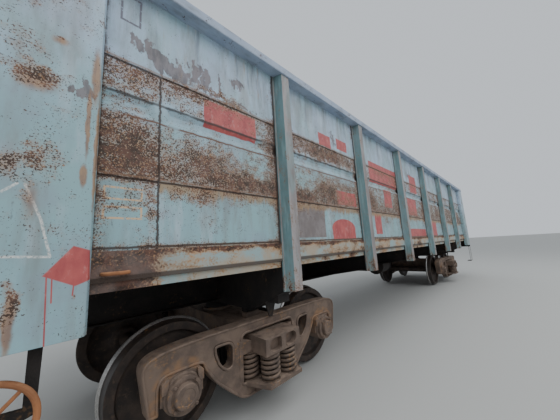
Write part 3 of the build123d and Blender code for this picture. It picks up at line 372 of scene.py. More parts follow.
def rust_colours(finish, seed=0.0):
    """Colour of old rust: brown-black scale, red-brown crust and tan powder in one mix."""
    powder = finish.coats("#87604a", ("#ab8560", finish.spots(30, 0.45, 0.6, seed=seed + 6)))
    return finish.coats(
        "#3d2f29",
        ("#63453a", finish.spots(70, 0.40, 0.60, seed=seed + 4)),
        (powder, finish.spots(13, 0.52, 0.62, seed=seed + 9), finish.spots(150, 0.36, 0.60, seed=seed + 2)),
    )


def bare_inside(finish):
    """Colour of the bare sides that face the load: dusty and rusted all over."""
    return finish.coats("#57463b", ("#7a6350", finish.spots(300, 0.35, 0.65)))


def sheet_paint(finish):
    """Colours of the enamel: two blues in clouds and runs, greyed by soot and rubbed off in places."""
    z = finish.parts[2]
    smear = finish.sum(finish.fields(lift(SMEARS, 1), 0.10, seed=2.0),
                       (finish.spots(26, 0.0, 1.0, (1, 1, 3.5), seed=21), 1.3))
    under = finish.coats("#564b4c", ("#786c6d", finish.spots(60, 0.4, 0.6, (1, 1, 3), seed=3)))
    return finish.coats(
        "#8eb0b8",
        ("#adc2d6", finish.node("step", z, 2.2, 3.0)),
        ("#8fb2b4", finish.spots(520, 0.40, 0.62), 0.55),
        ("#b9c8d2", finish.spots(130, 0.48, 0.70, (1, 1, 4.0), seed=8), 0.55),
        ("#80817c", finish.spots(190, 0.42, 0.72, (0.6, 1, 3.0), seed=5), 0.62),
        ("#6f7884", finish.spots(100, 0.50, 0.72, (0.5, 1, 4.5), seed=33),
         finish.node("step", z, SECOND_LAP, SECOND_LAP + 0.4), 0.65),
        ("#8b8f9c", finish.spots(340, 0.45, 0.66, seed=17), 0.35),
        (under, finish.node("step", smear, 0.93, 1.15), 0.85),
    )


def red_marks(finish, near):
    """Mask of what is painted red: the cover-up patches, the arch and the diamond with its drips."""
    red = finish.panels(lift(RED_PATCHES, 2, 3), 0.028)
    arch = finish.node("step", finish.fields(lift(RED_ARCH, 1), 0.0), 0.0, 0.1)
    for shape in (arch, finish.polygon(lift(DIAMOND, 1)), finish.strokes(lift(DRIPS, 1, 3), 0.008)):
        red = finish.node("larger", red, shape)
    return finish.node("times", red, near)


def plain_marks(finish, colour, red, near):
    """Red and grey marks, the empty frames and the chalk lines, laid over the enamel."""
    tone = finish.spots(90, 0.35, 0.65, (1, 1, 2), seed=23)
    paint = finish.coats("#a5494a", ("#bb5c58", tone),
                         ("#cf9d97", finish.spots(34, 0.56, 0.66, (1, 1, 1.6), seed=27), 0.3))
    frames = finish.frames(lift(STENCIL_FRAMES, 2, 3), 0.012, 0.012, 0.004, 0.002)
    dark = finish.frames(lift(DARK_FRAME, 2, 3), 0.014, 0.016, 0.008, 0.003)
    return finish.coats(
        colour,
        (paint, red),
        (finish.coats("#736a68", ("#837b7a", tone)), finish.panels(lift(GREY_PATCHES, 2, 3), 0.01), near),
        ("#dcb48a", frames, near, finish.spots(16, 0.36, 0.48, seed=41), 0.9),
        ("#5d5560", dark, near, finish.spots(22, 0.34, 0.46, seed=43), 0.85),
        ("#d9dad5", finish.strokes(lift(CHALK, 1, 3), 0.015), near, finish.spots(8, 0.32, 0.60)),
    )


def rust_share(finish, corner, from_post, red):
    """Share of the surface that has rusted, by height on the sheets and by place."""
    rise = finish.sum((finish.parts[2], 1 / BAND_HEIGHT), -(BAND_FOOT + RAIL_TOP) / BAND_HEIGHT)
    band = finish.node("ramp", rise)
    stops = band.color_ramp.elements
    for height, share in RUST_BY_HEIGHT:
        stops.new((height - BAND_FOOT) / BAND_HEIGHT).color = (share, share, share, 1)
    stops.remove(stops[-1])
    stops.remove(stops[0])
    on_sheets = finish.sum(band.outputs[0], finish.fields(lift(SHEET_RUST, 1), 0.12, seed=5.0),
                           (finish.node("step", from_post, POST_HALF + 0.13, POST_HALF + 0.01), 0.22))
    on_plate = finish.sum(finish.fields(lift(PLATE_RUST, 1), 0.05, seed=6.0), 0.19)
    return finish.sum(finish.node("blend", corner, on_sheets, on_plate), (red, -0.16),
                      (finish.spots(240, 0.0, 1.0, seed=3), 0.50),
                      (finish.spots(55, 0.0, 1.0, (1.5, 1, 1), seed=2), 0.55), -0.525)


def rust_water(finish, colour, near, length, stipple):
    """Rust water below the laps and down the edge of the corner plate, laid over the enamel."""
    z = finish.parts[2]
    tan = finish.coats("#97794f", ("#ab9070", stipple))
    brown = finish.coats("#84604a", ("#a37b55", finish.spots(40, 0.4, 0.6, (1, 1, 4), seed=47)))
    on_panels = finish.node("step", length, PANEL_JOINT, PANEL_JOINT - 0.01)
    for seam, reach, strength in ((FIRST_LAP, 0.15, 0.85), (SECOND_LAP, 0.05, 0.6), (SHEET_FOOT, 0.05, 0.7)):
        below = finish.node("times", finish.node("step", z, seam - reach, seam - 0.004),
                            finish.node("step", z, seam + 0.003, seam))
        run = finish.sum(below, (finish.spots(46, 0.0, 1.0, (1, 1, 7), seed=31 + reach), 1.5), -0.78)
        colour = finish.coats(colour, (tan, finish.node("step", run, 0.20, 0.85), on_panels, strength))
    streak = finish.node("step", finish.fields(lift(PLATE_STREAKS, 1), 0.012, seed=7.0), 0.05, 0.75)
    return finish.coats(colour, (brown, streak, near, 0.85))


def seam_lines(finish, seams, low, high, ragged, soft):
    """Mask of lines along the sheets that lie from low to high above each seam."""
    rows = [(-CORNER_EDGE, CORNER_EDGE, seam + low, seam + high) for seam in seams]
    return finish.panels(rows, ragged, soft)


def joint_and_shade_lines(finish, colour, length, corner, from_post):
    """Brown-black joints at posts, corner plates and the panel joint, a brown line under the groove, dark
    lines under the laps and sheet feet that are partly dirt and partly painted shadow, and a painted shade
    line under the groove's upper edge, laid over the enamel.
    """
    z = finish.parts[2]
    ragged = finish.spots(30, 0.0, 1.0, seed=53)
    from_post = finish.sum(from_post, (ragged, 0.036))
    from_corner = finish.sum(length, (ragged, -0.0324))
    from_joint = finish.node("size", finish.sum(length, (ragged, 0.018), -PANEL_JOINT - 0.009))
    beside = finish.node("larger", finish.node("step", from_post, POST_HALF + 0.052, POST_HALF + 0.034),
                         finish.node("step", from_corner, CORNER_EDGE - 0.040, CORNER_EDGE - 0.020))
    beside = finish.node("times", beside, finish.node("step", corner, 1, 0))
    upright = finish.node("times", finish.node("step", from_joint, 0.011, 0.005),
                          finish.node("step", z, SECOND_LAP + 0.01, SECOND_LAP - 0.01))
    # dark lines under the laps and the sheet feet: partly dirt in the seams, partly painted shadow under the
    # sheet edges
    laps = seam_lines(finish, (FIRST_LAP, SECOND_LAP, SHEET_FOOT), -0.014, 0.001, 0.014, 0.005)
    patchy_run = finish.spots(90, 0.34, 0.48, (3, 1, 1), seed=51)
    return finish.coats(
        colour,
        ("#8a6a55", seam_lines(finish, (FIRST_LAP, SECOND_LAP), 0.004, 0.018, 0.016, 0.006), 0.65),
        ("#6d4f40", seam_lines(finish, (GROOVE_LOW,), -0.024, -0.010, 0.02, 0.005), patchy_run),
        # painted shade: a grey-black line under the groove's upper edge, broken up in patches
        ("#45403e", seam_lines(finish, (GROOVE_HIGH,), -0.014, 0.006, 0.02, 0.006), patchy_run, 0.85),
        # brown-black joints, together with the painted shadow under the laps and sheet feet
        ("#3a2c26", finish.node("larger", finish.node("larger", laps, beside), upright), 0.92),
    )


def body_enamel():
    """Alkyd enamel sprayed on rolled steel: pale blue and chalky, stippled by rust, touched up in red."""
    finish = Finish("alkyd_enamel_on_rolled_steel", 0.55)
    x, y, _ = finish.parts
    near = finish.node("step", y, -1.2, -1.3)
    length = finish.node("size", x)
    corner = finish.node("step", length, CORNER_EDGE - 0.004, CORNER_EDGE)
    from_post = finish.node("to and fro", finish.sum(x, -POST_PLACES[0]), POST_PITCH / 2)
    red = red_marks(finish, near)
    share = rust_share(finish, corner, from_post, red)
    stipple = finish.spots(9.5, 0.0, 1.0, detail=2.5, seed=1)
    rust = finish.node("step", finish.sum(share, (stipple, 1.50), -0.75), 0.47, 0.56)
    crust = finish.coats("#5b4f4a", (rust_colours(finish), finish.node("step", share, 0.12, 0.42)))
    colour = plain_marks(finish, sheet_paint(finish), red, near)
    colour = finish.coats(
        rust_water(finish, colour, near, length, stipple),
        (finish.coats("#a08a74", ("#986b50", stipple)), finish.node("step", share, 0.22, 0.60), 0.66),
        (crust, rust, 0.92),
        (finish.coats("#ab9a8b", ("#bd9c78", stipple)), finish.spots(10, 0.59, 0.66, detail=1.5, seed=61),
         finish.node("step", share, 0.20, 0.50), 0.72),
    )
    colour = joint_and_shade_lines(finish, colour, length, corner, from_post)
    inside = finish.node("step", finish.node("times", y, finish.facing[1]), 0.0, -0.4)
    colour = finish.coats(colour, (bare_inside(finish), inside))
    return finish.done(colour, stipple, 1.6, finish.node("larger", rust, inside), (0.5, 0.92), 0.10)


def post_enamel():
    """Enamel on pressed steel posts: teal flanks, and outer faces worn to a grey-lilac primer."""
    finish = Finish("worn_enamel_on_pressed_steel", 0.55)
    flank = finish.coats("#5d7d80", ("#738f94", finish.spots(420, 0.35, 0.65, (1, 1, 2))),
                         ("#8aa6a8", finish.spots(60, 0.50, 0.66, (1, 1, 9), seed=13), 0.5))
    face = finish.coats("#857f7e", ("#9c9695", finish.spots(120, 0.4, 0.6, (1, 1, 4), seed=3)),
                        ("#7f9a9c", finish.spots(210, 0.48, 0.60, (1, 1, 3), seed=19), 0.5))
    level = finish.sum((finish.spots(12, 0, 1, seed=1), 0.4),
                       (finish.spots(60, 0, 1, (1, 1, 2.5), seed=2), 0.5),
                       (finish.node("step", finish.parts[2], 1.5, 1.15), 0.12))
    rust = finish.node("step", level, 0.60, 0.64)
    colour = finish.coats(
        flank,
        (face, finish.node("step", finish.node("size", finish.facing[1]), 0.90, 0.97)),
        ("#5f5750", finish.spots(110, 0.45, 0.7, (1, 1, 4), seed=5), 0.45),
        ("#8a6a50", finish.node("step", level, 0.50, 0.60), 0.6),
        (rust_colours(finish), rust),
    )
    return finish.done(colour, finish.spots(11, 0.2, 0.8), 1.5, rust, relief=0.12)


def chord_enamel():
    """Enamel on pressed top chords and end walls: grey-blue, dulled by weather, bare towards the load."""
    finish = Finish("weathered_enamel_on_pressed_steel", 0.6)
    level = finish.sum((finish.spots(11, 0, 1, seed=1), 0.45), (finish.spots(80, 0, 1, seed=2), 0.5))
    rust = finish.node("step", level, 0.60, 0.64)
    inside = finish.node("step", finish.node("times", finish.parts[0], finish.facing[0]), -3.0, -5.0)
    colour = finish.coats(
        "#92a2b8",
        ("#a2b0c3", finish.spots(380, 0.35, 0.65)),
        ("#9a9b92", finish.node("step", finish.facing[2], 0.5, 0.9), 0.7),
        ("#6a6761", finish.spots(90, 0.45, 0.7, (3, 1, 1), seed=5), 0.5),
        (rust_colours(finish), rust),
        (bare_inside(finish), inside),
    )
    worn = finish.node("larger", rust, inside)
    return finish.done(colour, finish.spots(11, 0.2, 0.8), 1.5, worn, (0.55, 0.9), 0.12)


def rusty_plate():
    """Hot-rolled plate and angle left mostly bare: rust over the remains of pale blue enamel."""
    finish = Finish("rusted_hot_rolled_steel", 0.85)
    x, y, z = finish.parts
    side = finish.node("size", y)
    level = finish.sum((finish.spots(15, 0, 1, seed=1), 0.30),
                       (finish.spots(80, 0, 1, (2, 1, 1), seed=2), 0.40),
                       (finish.spots(420, 0, 1, (2, 1, 1), seed=3), 0.40),
                       (finish.node("step", x, -5.45, -5.75), 0.30),
                       (finish.node("step", z, CHORD_TOP - 0.07, CHORD_TOP), 0.20),
                       (finish.node("step", side, 1.43, 1.40), 0.6))
    rust = finish.node("step", level, 0.60, 0.68)
    orange = finish.coats("#9a7a58", ("#b5875a", finish.spots(120, 0.45, 0.6, (2, 1, 1), seed=12)))
    colour = finish.coats(
        "#93a9aa",
        ("#a89c8a", finish.spots(300, 0.4, 0.6)),
        (orange, finish.node("step", level, 0.50, 0.62), 0.85),
        (rust_colours(finish, 3.0), rust),
        ("#7b6d67", finish.node("step", x, -5.30, -5.75), finish.spots(130, 0.35, 0.6, seed=21), 0.55),
        # the lip at the chord's foot lies in its own shade
        ("#41352e", finish.node("step", z, FLOOR_TOP + 0.036, FLOOR_TOP + 0.024),
         finish.node("step", side, 1.43, 1.44), 0.9),
    )
    return finish.done(colour, finish.spots(11, 0.2, 0.8), 1.8, rust, (0.6, 0.92), 0.3)


def axle_rings(finish):
    """Mask of a ring around each axle, where the boxes work against the frames."""
    pivot = BOGIE_PLACES["right"]
    across = finish.node("size", finish.sum(finish.node("size", finish.parts[0]), -pivot))
    across = finish.sum(across, pivot - AXLE_PLACES[3])
    rise = finish.sum(finish.parts[2], -AXLE_HEIGHT)
    reach = finish.sum(finish.node("times", across, across), finish.node("times", rise, rise))
    return finish.node("times", finish.node("step", reach, 0.024, 0.032),
                       finish.node("step", reach, 0.066, 0.050))


def dusty_steel(name, dark, mid, dust, rough=0.85, depth=1.4, grain=10, scuffed=0.75, rubbed=0.0):
    """Steel under brake dust and dried mud: what faces up is lighter, partly the dust that lies there and
    partly painted light from above, with scuffs of orange rust.

    The relief has lumps of grain mm and is depth mm deep; scuffed and rubbed say how strong the rust is.
    """
    finish = Finish(name, rough)
    colour = finish.coats(
        dark,
        (mid, finish.spots(180, 0.38, 0.64)),
        # lighter on what faces up: partly dust, partly painted light from above
        (dust, finish.node("step", finish.facing[2], 0.1, 0.95), finish.spots(90, 0.30, 0.60, seed=7), 0.75),
        ("#a97d4e", finish.spots(26, 0.50, 0.66, seed=11), finish.spots(240, 0.52, 0.66, seed=15), scuffed),
        ("#96714f", axle_rings(finish), finish.spots(70, 0.36, 0.60, seed=29), rubbed),
    )
    lumps = finish.sum((finish.spots(grain, 0.2, 0.8), 0.6), (finish.spots(70, 0.3, 0.7, seed=9), 0.4))
    return finish.done(colour, lumps, depth)


def wheel_steel():
    """Forged and turned steel: brown-black faces under dust, with tan scuffs."""
    finish = Finish("forged_and_turned_steel", 0.7)
    colour = finish.coats("#2a221e", ("#40332b", finish.spots(120, 0.38, 0.64)),
                          ("#5a4738", finish.spots(40, 0.55, 0.7, seed=5), 0.6))
    return finish.done(colour, finish.spots(12, 0.2, 0.8), 0.8)


def rail_polished():
    """Wheel steel rubbed bright by the rail's corner, with fine rings and a thin film of grease."""
    finish = Finish("rail_polished_steel", 0.36, 0.75)
    rings = finish.spots(30, 0.35, 0.65, (1, 0.06, 1), seed=2)
    return finish.done(finish.coats("#8e8b88", ("#b9b7b4", rings)), rings, 0.1, rings, (0.42, 0.26))


ENAMEL = body_enamel()
POST_ENAMEL = post_enamel()
CHORD_ENAMEL = chord_enamel()
RUSTY_PLATE = rusty_plate()
# near-black underframe steel: its own dark paint and dust, darkened further as painted shade for the shade
# under the body
UNDERFRAME_IN_PAINTED_SHADE = dusty_steel("underframe_steel_with_painted_shade", "#1d1a19", "#2b2522", "#4a3f36", scuffed=0.25)
CASTING = dusty_steel("sand_cast_steel", "#5f5148", "#786659", "#9b8777", depth=1.8, grain=8, rubbed=0.6)
SPRING = dusty_steel("coiled_spring_steel", "#4c413a", "#67574c", "#927d6b")
WHEEL = wheel_steel()
THROAT = rail_polished()
TREAD = dusty_steel("rolled_tread_steel", "#2a2523", "#3d3532", "#4d423b", rough=0.45, depth=0.3)
ORANGE_RUST = dusty_steel("surface_rusted_steel_tube", "#8a5b3c", "#a86f48", "#b98660")

FINISHES = [
    (("side_wall", "corner_posts"), ENAMEL),
    (("side_posts",), POST_ENAMEL),
    (("top_chord", "end_chords", "end_wall"), CHORD_ENAMEL),
    (("lower_chord", "hatch_far", "hatch_near", "end_floors"), RUSTY_PLATE),
    (("wheels", "axle_1", "axle_2", "axle_3", "axle_4"), WHEEL),
    (("springs",), SPRING),
    (("side_frames", "bolster_", "wedges", "axle_boxes", "coupler", "draft"), CASTING),
]


def finish_of(node):
    """Material of a node by the start of its name."""
    for starts, material in FINISHES:
        if node.startswith(starts):
            return material
    return UNDERFRAME_IN_PAINTED_SHADE


for name, item in nodes.items():
    item.data.materials.clear()
    item.data.materials.append(finish_of(name))


# Mesh helpers

AXIS_TURNS = {
    "X": Matrix.Rotation(math.pi / 2, 3, "Y"),
    "Y": Matrix.Rotation(-math.pi / 2, 3, "X"),
    "Z": Matrix.Identity(3),
}
# which of (first way, second way, place along the axis) become x, y and z
SLAB_ORDERS = {"X": (2, 0, 1), "Y": (0, 2, 1), "Z": (0, 1, 2)}
SIDES = (-1, 1)
# faces that fold by less than this are one flat face, and points nearer than this are one point
FLAT_FOLD = math.radians(0.8)
WELD = 0.00002


def shell_of(node):
    """Shell of a CAD node, with its triangles joined back into whole faces."""
    shell = bmesh.new()
    shell.from_mesh(nodes[node].data)
    bmesh.ops.remove_doubles(shell, verts=shell.verts, dist=WELD)
    bmesh.ops.dissolve_limit(shell, angle_limit=FLAT_FOLD, verts=shell.verts, edges=shell.edges)
    for face in shell.faces:
        face.material_index = 0
    return shell


def solids_of(shell):
    """Vertices of each separate solid of a shell."""
    seen = set()
    groups = []
    for start in shell.verts:
        if start in seen:
            continue
        seen.add(start)
        group = [start]
        for vert in group:
            for edge in vert.link_edges:
                other = edge.other_vert(vert)
                if other not in seen:
                    seen.add(other)
                    group.append(other)
        groups.append(group)
    return groups


def soften(shell, radius_mm, steps=2, fold=24, picked=None):
    """Round the edges that fold by more than fold degrees, one solid at a time."""
    shell.edges.index_update()
    for group in solids_of(shell):
        edges = {edge for vert in group for edge in vert.link_edges}
        sharp = [edge for edge in sorted(edges, key=lambda edge: edge.index) if edge.is_manifold
                 and edge.calc_face_angle(0) > math.radians(fold) and (picked is None or picked(edge))]
        bmesh.ops.bevel(shell, geom=sharp, offset=radius_mm * MM, offset_type="OFFSET", segments=steps,
                        profile=0.5, affect="EDGES", clamp_overlap=True)
        shell.edges.index_update()


def circle(count):
    """Cosine and sine of angles that share out a full turn."""
    angles = [2 * math.pi * index / count for index in range(count)]
    return [(math.cos(angle), math.sin(angle)) for angle in angles]


def turned(shell, rows, centre, axis="Y", sides=48, material=0):
    """Add a form turned about an axis through centre, from rows of (place along it, radius)."""
    rings = []
    for place, radius in rows:
        points = [Vector((radius * u, radius * v, place)) for u, v in circle(sides)[:None if radius else 1]]
        rings.append([shell.verts.new(Vector(centre) + AXIS_TURNS[axis] @ point) for point in points])
    for low, high in zip(rings, rings[1:]):
        for index in range(sides):
            places = ((low, index), (low, index + 1), (high, index + 1), (high, index))
            corners = list(dict.fromkeys(ring[place % len(ring)] for ring, place in places))
            if len(corners) > 2:
                shell.faces.new(corners).material_index = material


def tube(shell, points, radius, sides=8, material=0, closed=False):
    """Add a round bar that follows the points, with flat ends unless it closes on itself."""
    points = [Vector(point) for point in points]
    count = len(points)
    side = None
    rings = []
    for index, point in enumerate(points):
        if closed:
            run = points[(index + 1) % count] - points[index - 1]
        else:
            run = points[min(index + 1, count - 1)] - points[max(index - 1, 0)]
        run.normalize()
        if side is None:
            side = run.orthogonal()
        side = (side - run * side.dot(run)).normalized()
        other = run.cross(side)
        rings.append([shell.verts.new(point + (side * u + other * v) * radius) for u, v in circle(sides)])
    pairs = list(zip(rings, rings[1:]))
    if closed:
        last, first = rings[-1], rings[0]
        nearest = min(range(sides), key=lambda step: (first[step].co - last[0].co).length)
        pairs.append((last, first[nearest:] + first[:nearest]))
    for low, high in pairs:
        for step in range(sides):
            after = (step + 1) % sides
            shell.faces.new((low[step], low[after], high[after], high[step])).material_index = material
    if not closed:
        shell.faces.new(rings[0][::-1]).material_index = material
        shell.faces.new(rings[-1]).material_index = material


def slab(shell, outline, axis, start, end):
    """Add a flat piece: an outline in the two other directions, from start to end along the axis."""
    order = SLAB_ORDERS[axis]
    rings = [[shell.verts.new([(u, v, place)[index] for index in order]) for u, v in outline]
             for place in (start, end)]
    shell.faces.new(rings[0])
    shell.faces.new(rings[1][::-1])
    for index in range(len(outline)):
        after = (index + 1) % len(outline)
        shell.faces.new((rings[0][after], rings[0][index], rings[1][index], rings[1][after]))


def bolt(shell, place, radius, height):
    """Add a hexagon bolt head with a washer, along y; a negative height points it the other way."""
    washer = height * 0.2
    turned(shell, [(0, 0), (0, radius * 1.35), (washer, radius * 1.35), (washer, 0)], place, sides=16)
    rows = [(washer, 0), (washer, radius), (height * 0.85, radius), (height, radius * 0.82), (height, 0)]
    turned(shell, rows, place, sides=6)


def join(shell, part, places=(Matrix.Identity(4),)):
    """Move what another shell holds into this one, once at each place."""
    mesh = bpy.data.meshes.new("part")
    part.to_mesh(mesh)
    part.free()
    for place in places:
        first = len(shell.verts)
        shell.from_mesh(mesh)
        shell.verts.ensure_lookup_table()
        bmesh.ops.transform(shell, matrix=place, verts=shell.verts[first:])
    bpy.data.meshes.remove(mesh)


def settle(shell, name, body, materials, replaced, least=35):
    """Turn a shell into a piece that rides on a body in place of the CAD nodes replaced.

    Its surface is smooth except where it folds by more than least degrees.
    """
    bmesh.ops.recalc_face_normals(shell, faces=shell.faces)
    mesh = bpy.data.meshes.new(name)
    shell.to_mesh(mesh)
    shell.free()
    for material in materials:
        mesh.materials.append(material)
    mesh.shade_smooth()
    mesh.set_sharp_from_angle(angle=math.radians(least))
    piece = bpy.data.objects.new(name, mesh)
    bpy.context.scene.collection.objects.link(piece)
    even = piece.modifiers.new("even_normals", "WEIGHTED_NORMAL")
    even.keep_sharp = True
    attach(piece, body)
    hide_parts(*replaced)


def body_of(node):
    """Body that a CAD node rides on."""
    for body, members in frame["record"]["behaviour"]["bodies"].items():
        if node in members:
            return body
    return "wagon"


# Wheelsets

BORE = 0.084
JOURNAL = 0.065
# wheel section as (distance from the wagon's middle, radius), from the back of the hub round the rim
WHEEL_BACK = [(0.705, BORE), (0.705, 0.126), (0.712, 0.138), (0.735, 0.148), (0.755, 0.165), (0.768, 0.195),
              (0.774, 0.250), (0.768, 0.310), (0.756, 0.355), (0.744, 0.380), (0.730, 0.396), (0.721, 0.406)]
WHEEL_FLANGE = [(0.720, 0.414), (0.720, 0.488), (0.725, 0.498), (0.731, 0.502), (0.735, 0.503)]
WHEEL_THROAT = [(0.735, 0.503), (0.742, 0.501), (0.750, 0.492), (0.755, 0.482)]
WHEEL_TREAD = [(0.755, 0.482), (0.762, 0.477), (0.775, 0.4752), (0.842, 0.4708), (0.847, 0.4690)]
WHEEL_FRONT = [(0.847, 0.4690), (0.850, 0.465), (0.850, 0.408), (0.846, 0.401), (0.822, 0.394),
               (0.803, 0.385), (0.796, 0.365), (0.800, 0.310), (0.805, 0.250), (0.801, 0.200),
               (0.808, 0.166), (0.826, 0.148), (0.850, 0.140), (0.872, 0.134), (0.880, 0.127), (0.880, BORE)]
# the section's stretches, each with the slot of its material
WHEEL_SECTION = [(WHEEL_BACK + WHEEL_FLANGE, 0), (WHEEL_THROAT, 1), (WHEEL_TREAD, 2),
                 (WHEEL_FRONT + [WHEEL_BACK[0]], 0)]
# half of the axle, as (distance from the wagon's middle, radius)
AXLE_ROWS = [(0.0, 0.081), (0.560, 0.081), (0.640, BORE), (0.880, BORE), (0.888, 0.080), (0.900, 0.068),
             (0.910, JOURNAL), (1.094, JOURNAL), (1.100, 0.060), (1.100, 0.0)]


def make_wheelset(number, x):
    """Two forged wheels on their axle, with polished throats and dark treads."""
    shell = bmesh.new()
    centre = (x, 0, AXLE_HEIGHT)
    for side in SIDES:
        for rows, material in WHEEL_SECTION:
            turned(shell, [(side * place, radius) for place, radius in rows], centre, "Y", 96, material)
    axle = [(-place, radius) for place, radius in AXLE_ROWS[:0:-1]] + AXLE_ROWS
    turned(shell, axle, centre, "Y", 40)
    bmesh.ops.remove_doubles(shell, verts=shell.verts, dist=WELD / 2)
    settle(shell, f"forged_wheelset_{number}", f"wheelset_{number}", [WHEEL, THROAT, TREAD],
           [f"wheels_{number}", f"axle_{number}"], 30)


# Coil springs, in rows of two, three and two

SPRING_LOW = 0.328
SPRING_HIGH = 0.568
SPRING_PITCH = 0.228
SPRING_ROWS = [(-0.190, (-0.5, 0.5)), (0.0, (-1, 0, 1)), (0.190, (-0.5, 0.5))]
FRAME_MIDDLE = 1.018
# each nest has an outer and an inner coil: mean radius, wire radius, turns, hand
COILS = [(0.0835, 0.016, 5.4, 1), (0.046, 0.0085, 7.2, -1)]
# share of the wire that closes each end, and how steeply it does: 1 would be the pitch of the open coils
CLOSING = 0.16
CLOSED_RISE = 0.75
SEAT_RING = 0.092
SEAT_THICKNESS = 0.004


def coil(shell, x, y, mean, wire, turns, hand, start):
    """Add a coil spring with closed ends, wound from wire of the radius given."""
    steps = int(turns * 20)
    low = SPRING_LOW + wire
    rise = SPRING_HIGH - SPRING_LOW - 2 * wire
    edge = CLOSED_RISE * CLOSING
    points = []
    for index in range(steps + 1):
        share = index / steps
        # the first and last part of the wire lies nearly flat on its seat
        if share < CLOSING:
            height = CLOSED_RISE * share * share / CLOSING
        elif share > 1 - CLOSING:
            height = 1 - CLOSED_RISE * (1 - share) ** 2 / CLOSING
        else:
            height = edge + (1 - 2 * edge) * (share - CLOSING) / (1 - 2 * CLOSING)
        angle = start + hand * 2 * math.pi * turns * share
        points.append((x + mean * math.cos(angle), y + mean * math.sin(angle), low + rise * height))
    tube(shell, points, wire)


def make_springs(name, x):
    """Spring nests on both sides of one bogie, each coil with its round seat plate."""
    shell = bmesh.new()
    number = 0
    for side in SIDES:
        for row, places in SPRING_ROWS:
            for place in places:
                number += 1
                centre = (x + place * SPRING_PITCH, side * (FRAME_MIDDLE + row))
                for mean, wire, turns, hand in COILS:
                    coil(shell, *centre, mean, wire, turns, hand, number * 1.9)
                for height in (SPRING_LOW, SPRING_HIGH - SEAT_THICKNESS):
                    rows = [(0, 0), (0, SEAT_RING), (SEAT_THICKNESS, SEAT_RING), (SEAT_THICKNESS, 0)]
                    turned(shell, rows, (*centre, height), "Z", 24)
    settle(shell, f"coiled_springs_{name}", f"bogie_{name}", [SPRING], [f"springs_{name}"], 50)


# Axle boxes

# turned body and stepped cover, as (distance from the wagon's middle, radius)
BOX_ROWS = [(0.930, 0.0), (0.930, 0.140), (0.936, 0.148), (0.944, 0.150), (1.094, 0.150), (1.104, 0.147),
            (1.110, 0.140), (1.112, 0.136), (1.136, 0.136), (1.146, 0.132), (1.150, 0.124), (1.150, 0.108),
            (1.145, 0.103), (1.145, 0.092), (1.178, 0.090), (1.187, 0.086), (1.190, 0.078), (1.190, 0.060),
            (1.186, 0.055), (1.186, 0.0)]
# saddle over the box, and the lug that holds it over the frame's jaws, as (distance from the axle, height)
SADDLE = [(-0.165, 0.463), (-0.150, 0.463), (-0.142, 0.520), (-0.110, 0.585), (-0.055, 0.622),
          (0.055, 0.622), (0.110, 0.585), (0.142, 0.520), (0.150, 0.463), (0.165, 0.463), (0.165, 0.623),
          (0.135, 0.653), (-0.135, 0.653), (-0.165, 0.623)]
LUG = [(0.128, 0.548), (0.165, 0.548), (0.165, 0.622), (0.140, 0.648), (0.112, 0.648), (0.112, 0.600)]
BOLT_CIRCLE = 0.116


def make_axle_boxes(name, places):
    """Cast axle boxes of one bogie: stepped covers with four bolts, and saddles with lugs."""
    shell = bmesh.new()
    saddles = bmesh.new()
    for x in places:
        for side in SIDES:
            box = [(side * place, radius) for place, radius in BOX_ROWS]
            turned(shell, box, (x, 0, AXLE_HEIGHT), "Y", 56)
            for u, v in circle(8)[1::2]:
                place = (x + BOLT_CIRCLE * u, side * 1.150, AXLE_HEIGHT + BOLT_CIRCLE * v)
                bolt(shell, place, 0.013, side * 0.018)
            slab(saddles, [(x + u, z) for u, z in SADDLE], "Y", side * 0.942, side * 1.096)
            for edge in SIDES:
                slab(saddles, [(x + edge * u, z) for u, z in LUG], "Y", side * 1.090, side * 1.122)
    soften(saddles, 6)
    join(shell, saddles)
    settle(shell, f"cast_axle_boxes_{name}", f"bogie_{name}", [CASTING], [f"axle_boxes_{name}"], 30)


# Hand brake wheel on its hanger plate

RING_X = -6.235
RING_Y = -1.500
RING_HEIGHT = 0.913
RING_RADIUS = 0.171
RING_BAR = 0.0138
PLATE_FACE = -1.451
PLATE_BACK = -1.431
# outline of the hanger plate, as (x, height)
HANGER = [(-6.113, 1.433), (-6.057, 1.433), (-6.068, 0.893), (-6.113, 0.881), (-6.267, 0.881),
          (-6.267, 0.945), (-6.113, 0.929)]
# hub and shaft, as (place along y from the wheel's middle, radius)
HUB_ROWS = [(-0.020, 0), (-0.020, 0.026), (-0.015, 0.031), (0.014, 0.032), (0.020, 0.028), (0.020, 0.016),
            (0.069, 0.016), (0.069, 0)]


def make_hand_brake():
    """Tube wheel with four bowed spokes on its shaft, and the plate that hangs it from the body."""
    shell = bmesh.new()
    centre = Vector((RING_X, RING_Y, RING_HEIGHT))
    ring = [centre + Vector((RING_RADIUS * u, 0, RING_RADIUS * v)) for u, v in circle(64)]
    tube(shell, ring, RING_BAR, 12, 1, closed=True)
    for u, v in circle(8)[1::2]:
        out = Vector((u, 0, v))
        bow = Vector((0, -0.006, 0))
        tube(shell, [centre + out * 0.024, centre + out * 0.09 + bow, centre + out * 0.165], 0.0085, 10, 1)
    turned(shell, HUB_ROWS, centre, "Y", 28)
    bolt(shell, (RING_X, RING_Y - 0.014, RING_HEIGHT), 0.012, -0.016)
    hanger = bmesh.new()
    slab(hanger, HANGER, "Y", PLATE_FACE, PLATE_BACK)
    soften(hanger, 4)
    join(shell, hanger)
    for height in (1.376, 1.300):
        bolt(shell, (-6.085, PLATE_FACE, height), 0.013, -0.014)
    settle(shell, "hand_brake_wheel", "wagon", [UNDERFRAME_IN_PAINTED_SHADE, ORANGE_RUST], ["hand_brake"], 30)


# Air tank under the body

TANK_Y = 0.491
TANK_HEIGHT = 0.968
TANK_HALF = 0.350
TANK_RADIUS = 0.148
TANK_DOME = 0.060
STRAP_PLACES = (-0.175, 0.175)
STRAP_INSIDE = 0.1478
STRAP_OUTSIDE = 0.1500


